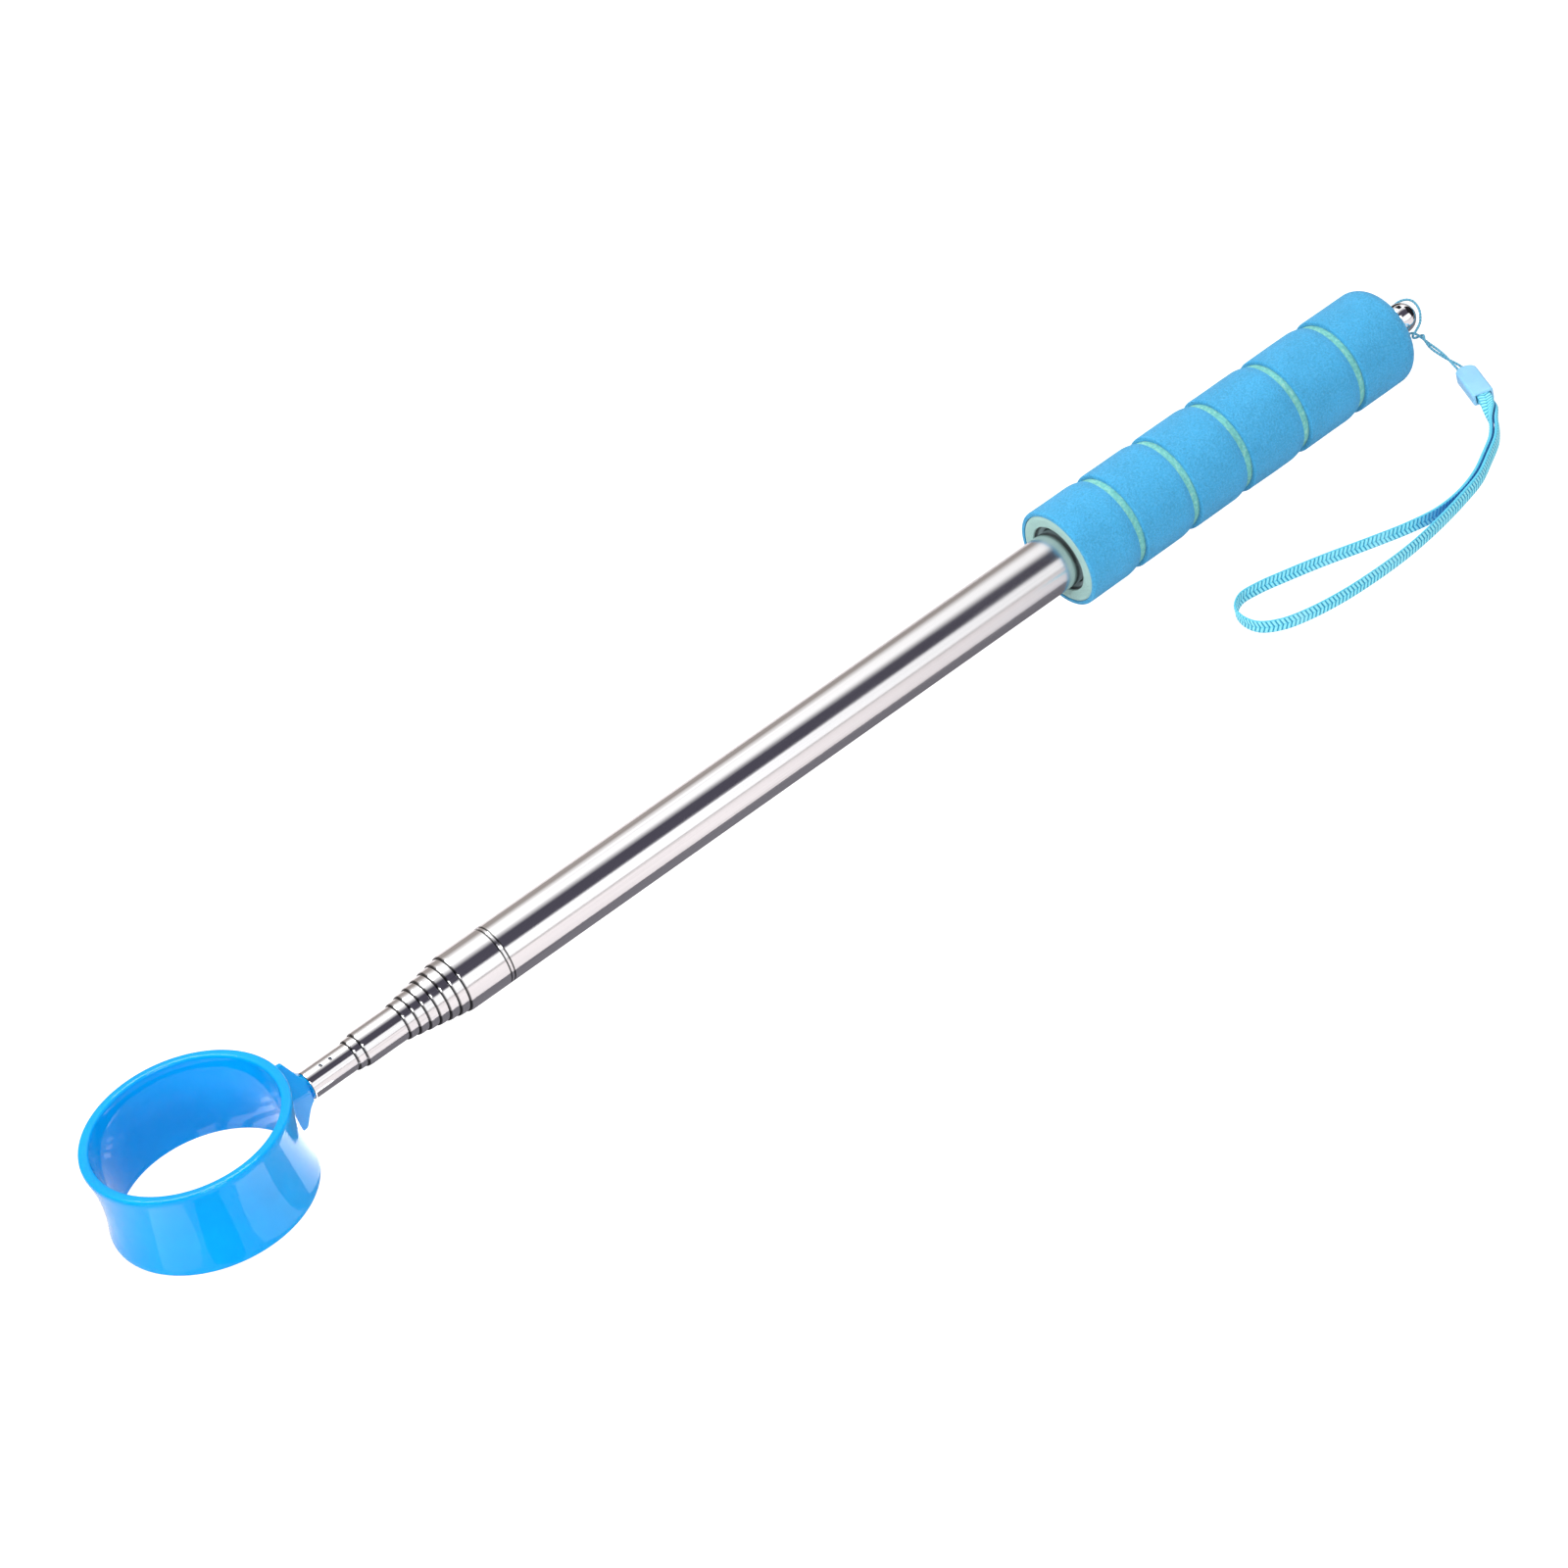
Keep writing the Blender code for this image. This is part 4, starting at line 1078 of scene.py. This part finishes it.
def fold_nearness(route):
    """For each point of the webbing's line, 1 where its two runs meet and 0 where they part."""
    step = 24
    coarse = [point for point, _, _, _ in route[::step]]
    half = len(coarse) // 2
    near = []
    for i, point in enumerate(coarse):
        other = coarse[half + 7:] if i < half else coarse[:half - 7]
        gap = min((point - q).length for q in other)
        near.append(max(0.0, min(1.0, 1.0 - (gap - FOLD_GAP[0]) / (FOLD_GAP[1] - FOLD_GAP[0]))))
    fine = []
    for i in range(len(route)):
        part = i / step
        k = min(int(part), len(near) - 1)
        after = near[min(k + 1, len(near) - 1)]
        fine.append(near[k] + (after - near[k]) * (part - k))
    return fine


def webbing_mesh(web):
    """Webbing with real ribs on both faces and round selvedges."""
    face_columns = 20
    edge_columns = 4
    route = strap_route(0.14 * MM)
    bm = bmesh.new()
    rib = bm.verts.layers.float.new("rib")
    selvedge = bm.verts.layers.float.new("selvedge")
    fold = bm.verts.layers.float.new("fold")
    nearness = fold_nearness(route)
    flat_w = WEB_WIDTH / 2.0 - EDGE_ROUND
    rows = []
    for (point, walked, along, wide), near_fold in zip(route, nearness):
        thin = along.cross(wide).normalized()
        half_t = WEB_THICK / 2.0 + FOLD_SWELL * near_fold
        row = []
        for face in (-1.0, 1.0):
            for k in range(face_columns):
                across = (-1.0 + 2.0 * (k + 0.5) / face_columns) * -face
                height = rib_height(walked + (0.0 if face < 0 else RIB_PITCH / 2.0), across)
                edge = max(0.0, (abs(across) - 0.86) / 0.14)
                depth = half_t - RIB_HEIGHT * (1.0 - height) * (1.0 - edge) - EDGE_THIN * edge
                vert = bm.verts.new(point + wide * across * flat_w + thin * face * depth)
                # the rib height also drives the painted shade in the valleys and the painted
                # highlight on the crests
                vert[rib] = height
                vert[selvedge] = edge
                # where the runs lie close, the inner face takes painted shade from the other run
                vert[fold] = near_fold if face < 0 else 0.0
                row.append(vert)
            for k in range(edge_columns):
                a = math.pi * (k + 1) / (edge_columns + 1)
                tuck = 0.05 * MM * (0.5 + 0.5 * math.cos(4.0 * math.pi * walked / RIB_PITCH))
                out = flat_w + (EDGE_ROUND - tuck) * math.sin(a)
                vert = bm.verts.new(point + wide * -face * out
                                    + thin * face * math.cos(a) * (half_t - EDGE_THIN))
                vert[rib] = 0.62 - 0.4 * tuck / MM
                vert[selvedge] = 1.0
                row.append(vert)
        rows.append(row)
    skin(bm, rows)
    return write_mesh(bm, "wrist_strap_webbing", web, 80.0)


def wrist_strap(web):
    """The webbing loop: out of the connector, round beside the pole and back in."""
    obj = webbing_mesh(web)
    path = [point for point, _, _, _ in strap_route(2.0 * MM)]
    stand_for(obj, "handle", "webbing", "wrist_strap")


def string_route():
    """Points of the string: connector, knot, round the neck and the ball, knot, connector."""
    along, across, _ = connector_frame()
    pull = (STRING_KNOT - CONNECTOR_REAR).normalized()
    side = pull.cross(UP).normalized()
    over = side.cross(pull)
    inside = [CONNECTOR_REAR + along * u for u in (0.0045, 0.0025, 0.0005)]
    first, second = ([CONNECTOR_REAR.lerp(STRING_KNOT, part) + side * aside + over * above
                      for part, aside, above in strand] for strand in (FIRST_STRAND, SECOND_STRAND))
    turn = []
    for k in range(10):
        a = math.radians(15.0 + 40.0 * k)
        lift = pull * (0.0003 + 0.0034 * (k / 9.0) ** 2)
        turn.append(STRING_KNOT - lift + (over * math.cos(a) - side * math.sin(a)) * KNOT_TURN_R)
    return ([p - across * STRING_APART for p in inside] + first + [STRING_KNOT] + STRING_LOOP
            + turn + second + [p + across * STRING_APART for p in reversed(inside)])


def strap_string(cord):
    """Two-ply string: a slack loop caught round the knob's neck and knotted on itself."""
    line = smooth_line(string_route(), 0.12 * MM)
    sides = 20
    bm = bmesh.new()
    ply = bm.verts.layers.float.new("ply")
    rows = []
    walked = 0.0
    wide = UP
    for i, point in enumerate(line):
        if i:
            walked += (point - line[i - 1]).length
        direction = path_direction(line, i)
        wide = (wide - direction * wide.dot(direction)).normalized()
        thin = direction.cross(wide)
        row = []
        for k in range(sides):
            a = 2.0 * math.pi * k / sides
            lobe = abs(math.cos(a - 2.0 * math.pi * walked / PLY_PITCH)) ** 0.6
            r = STRING_R * (0.72 + 0.28 * lobe)
            vert = bm.verts.new(point + (wide * math.cos(a) + thin * math.sin(a)) * r)
            vert[ply] = lobe
            row.append(vert)
        rows.append(row)
    skin(bm, rows)
    obj = write_mesh(bm, "strap_string_twisted", cord, 80.0)
    stand_for(obj, "handle", "string", "strap_string")


# ---------------------------------------------------------------- stage
FLOOR_Z = AXIS_Z - RING_R - 0.8 * MM   # low enough for the ring to swivel clear of it
CARD_Z = -0.2 * MM         # most level cards lie here, just under the grip
# painted shadow: grey that stands for the pole's shadow on the floor, seen in reflections
PAINTED_SHADOW_GREY = (0.205, 0.195, 0.220)
CARD_DARK = (0.016, 0.015, 0.018)


def floor_disc(name, color, glow, height):
    """Wide matt disc with a faint cloudiness."""
    look = Look(name, color, 0.9)
    look.set("Base Color", look.vary(look.noise(3.0, 2.0), 0.3, 0.7, 0.985, 1.0))
    look.set("Specular IOR Level", 0.0)
    look.set("Emission Color", (1.0, 1.0, 1.0))
    look.set("Emission Strength", glow)
    bm = bmesh.new()
    bmesh.ops.create_circle(bm, cap_ends=True, segments=96, radius=12.0)
    obj = write_mesh(bm, name, look.mat)
    obj.location.z = height
    return obj


def floor():
    """Pale plain floor: a lit white sheet to look at, over a matt one that bounces light."""
    seen = floor_disc("floor", (0.24, 0.24, 0.24), 0.93, FLOOR_Z)
    seen.visible_diffuse = False
    seen.visible_glossy = False
    seen.visible_transmission = False
    seen.visible_shadow = False
    bounce = floor_disc("floor_bounce", (0.75, 0.705, 0.705), 0.0, FLOOR_Z - 0.2 * MM)
    bounce.visible_camera = False


SKY_BANDS = [
    # Elevation round the pole in degrees, 0 towards -Y and 90 up, where a strip starts;
    # the width over which it blends with the strip before; its brightness.
    (-140.0, 8.0, (0.66, 0.62, 0.62)),
    (3.0, 4.0, (1.16, 1.15, 1.16)),
    (38.5, 6.0, (0.078, 0.072, 0.098)),
    (88.0, 22.0, (1.22, 1.20, 1.20)),
    (140.0, 26.0, (0.40, 0.355, 0.335)),
]
SKY_SCALE = 4.0            # the ramp holds brightness divided by this
DARK_END = (-0.92, -0.55)  # the studio is dark towards -X, between these cosines
DARK_END_LEVEL = 0.10


def sky():
    """Studio round the pole: long light and dark strips that run along X."""
    world = bpy.data.worlds.new("studio")
    world.use_nodes = True
    nodes = Nodes(world.node_tree)
    place = nodes.node("ShaderNodeTexCoord").outputs["Generated"]
    x, y, z = nodes.node("ShaderNodeSeparateXYZ", {"Vector": place}).outputs
    angle = nodes.math("ARCTAN2", z, nodes.math("MULTIPLY", y, -1.0))
    ramp = nodes.node("ShaderNodeValToRGB", {"Fac": nodes.levels(angle, -math.pi, math.pi)})
    stops = []
    before = SKY_BANDS[-1][2]
    for start, blur, color in SKY_BANDS:
        stops += [(start - blur / 2.0, before), (start + blur / 2.0, color)]
        before = color
    elements = ramp.color_ramp.elements
    while len(elements) < len(stops):
        elements.new(0.5)
    for element, (degrees, color) in zip(elements, stops):
        element.position = (degrees + 180.0) / 360.0
        element.color = (*[c / SKY_SCALE for c in color], 1.0)
    background = world.node_tree.nodes["Background"].inputs
    nodes.put(background["Color"], ramp.outputs["Color"])
    nodes.put(background["Strength"],
              nodes.levels(x, *DARK_END, DARK_END_LEVEL * SKY_SCALE, SKY_SCALE))
    bpy.context.scene.world = world


def card(name, corners, color):
    """Flat card that is seen only in reflections."""
    mat = bpy.data.materials.new(name)
    mat.use_nodes = True
    tree = mat.node_tree
    tree.nodes.remove(tree.nodes["Principled BSDF"])
    nodes = Nodes(tree)
    glow = nodes.node("ShaderNodeEmission", {"Color": color})
    nodes.put(tree.nodes["Material Output"].inputs["Surface"], glow.outputs["Emission"])
    bm = bmesh.new()
    bm.faces.new([bm.verts.new(corner) for corner in corners])
    obj = write_mesh(bm, name, mat)
    obj.visible_camera = False
    obj.visible_diffuse = False
    obj.visible_shadow = False


def level_card(name, corners, color, height=CARD_Z):
    """Card lying level."""
    card(name, [(x, y, height) for x, y in corners], color)


def oblong(x0, x1, y0, y1):
    """Corners of a level oblong."""
    return [(x0, y0), (x1, y0), (x1, y1), (x0, y1)]


def cards():
    """Grey painted shadow under the pole, glowing white patches round the ring and dark ones round
    the knob.
    """
    # painted shadow of the pole on the floor beneath it, for the pole's lower side to reflect
    for name, x0, x1 in (("card_painted_shadow_under_pole", -0.1655, 0.6), ("card_painted_shadow_under_open_pole", -3.0, -0.264)):
        level_card(name, oblong(x0, x1, -0.0175, 0.0179), PAINTED_SHADOW_GREY, CARD_Z / 2.0)
    for name, corners, color in (
            ("card_beside_neck",
             [(-0.177, -0.026), (-0.1655, -0.024), (-0.1655, 0.006), (-0.176, 0.006)],
             (3.4, 3.3, 3.5)),
            ("card_at_ridge", oblong(-0.1655, -0.1575, -0.0240, -0.0184), (6.0, 6.0, 6.2)),
            ("card_before_ring",
             [(-0.206, -0.046), (-0.197, -0.034), (-0.184, -0.029), (-0.180, -0.046)],
             (3.0, 3.0, 3.1)),
            ("card_dark_before_ring",
             [(-0.232, -0.052), (-0.214, -0.052), (-0.214, -0.030), (-0.232, -0.036)],
             (0.15, 0.15, 0.16)),
            ("card_ahead_of_ring",
             [(-0.252, -0.030), (-0.234, -0.036), (-0.232, -0.016), (-0.246, -0.010)],
             (2.2, 2.2, 2.2))):
        level_card(name, corners, color)
    for k in range(3):
        x = -0.1955 + 0.0040 * k
        y = 0.0196 - 0.0038 * k
        level_card("card_in_ring_%d" % k,
                   [(x, y), (x + 0.0026, y - 0.0020), (x + 0.0052, y + 0.0016),
                    (x + 0.0026, y + 0.0032)], (2.3, 2.2, 2.4))
    card("card_right_of_knob",
         [(0.300, y, z) for y, z in oblong(-0.060, 0.020, 0.001, 0.085)], CARD_DARK)
    card("card_behind_knob",
         [(x, 0.060, z) for x, z in oblong(0.230, 0.290, 0.012, 0.050)], CARD_DARK)
    card("card_over_knob", [(0.236, 0.008, 0.067), (0.258, 0.008, 0.067), (0.272, 0.045, 0.060),
                            (0.236, 0.045, 0.060)], CARD_DARK)
    level_card("card_beyond_knob", oblong(0.262, 0.300, -0.030, 0.020), CARD_DARK, CARD_Z / 4.0)


def soft_light(name, place, size, power):
    """Square area light at a place, turned to the middle of the pole."""
    data = bpy.data.lights.new(name, "AREA")
    data.size = size
    data.energy = power
    light = bpy.data.objects.new(name, data)
    light.location = place
    light.rotation_euler = (-Vector(place)).to_track_quat("-Z", "Y").to_euler()
    bpy.context.scene.collection.objects.link(light)
    return light


# ---------------------------------------------------------------- assembly
def carry_over(mat):
    """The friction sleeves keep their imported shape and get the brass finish."""
    for label in SECTION_LABELS:
        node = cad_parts["sleeve_" + label]
        node.data.materials.clear()
        node.data.materials.append(mat)


def build():
    """Build every piece in its place."""
    place_camera()
    web = woven_webbing()
    strap_connector(connector_plastic())
    wrist_strap(web)
    strap_string(twisted_string())
    steel = drawn_steel("stainless_steel", (0.90, 0.90, 0.91), 0.085, -0.04)
    inner_steel = drawn_steel("stainless_steel_inner", (0.88, 0.88, 0.89), 0.080)
    outer_tube(steel)
    front_collar(steel)
    for label in SECTION_LABELS:
        section(label, inner_steel)
    carry_over(spring_brass())
    ring_head(ring_plastic())
    head_pins(drawn_steel("darkened_steel", (0.085, 0.085, 0.090), 0.30))
    grip_core(foam("foam_mint", (0.205, 0.655, 0.585), (0.55, 0.89, 0.70), 1000.0, GRIP_FRONT_X))
    blue = foam("foam_blue", (0.058, 0.448, 0.815), (0.15, 0.62, 0.96), 1750.0)
    for number in range(1, BAND_COUNT + 1):
        grip_band(number, blue)
    rear_plug(plug_plastic())
    end_knob(polished_chrome())
    floor()
    cards()
    sky()
    soft_light("key_behind", (-0.10, 0.45, 1.00), 0.55, 6.0)
    soft_light("fill_front", (-0.40, -0.75, 0.90), 0.40, 5.0)
    ahead = soft_light("fill_ahead", (-1.25, -0.25, 0.45), 0.40, 6.0)
    ahead.visible_glossy = False
    view = bpy.context.scene.view_settings
    view.view_transform = "Standard"
    view.look = "None"


build()
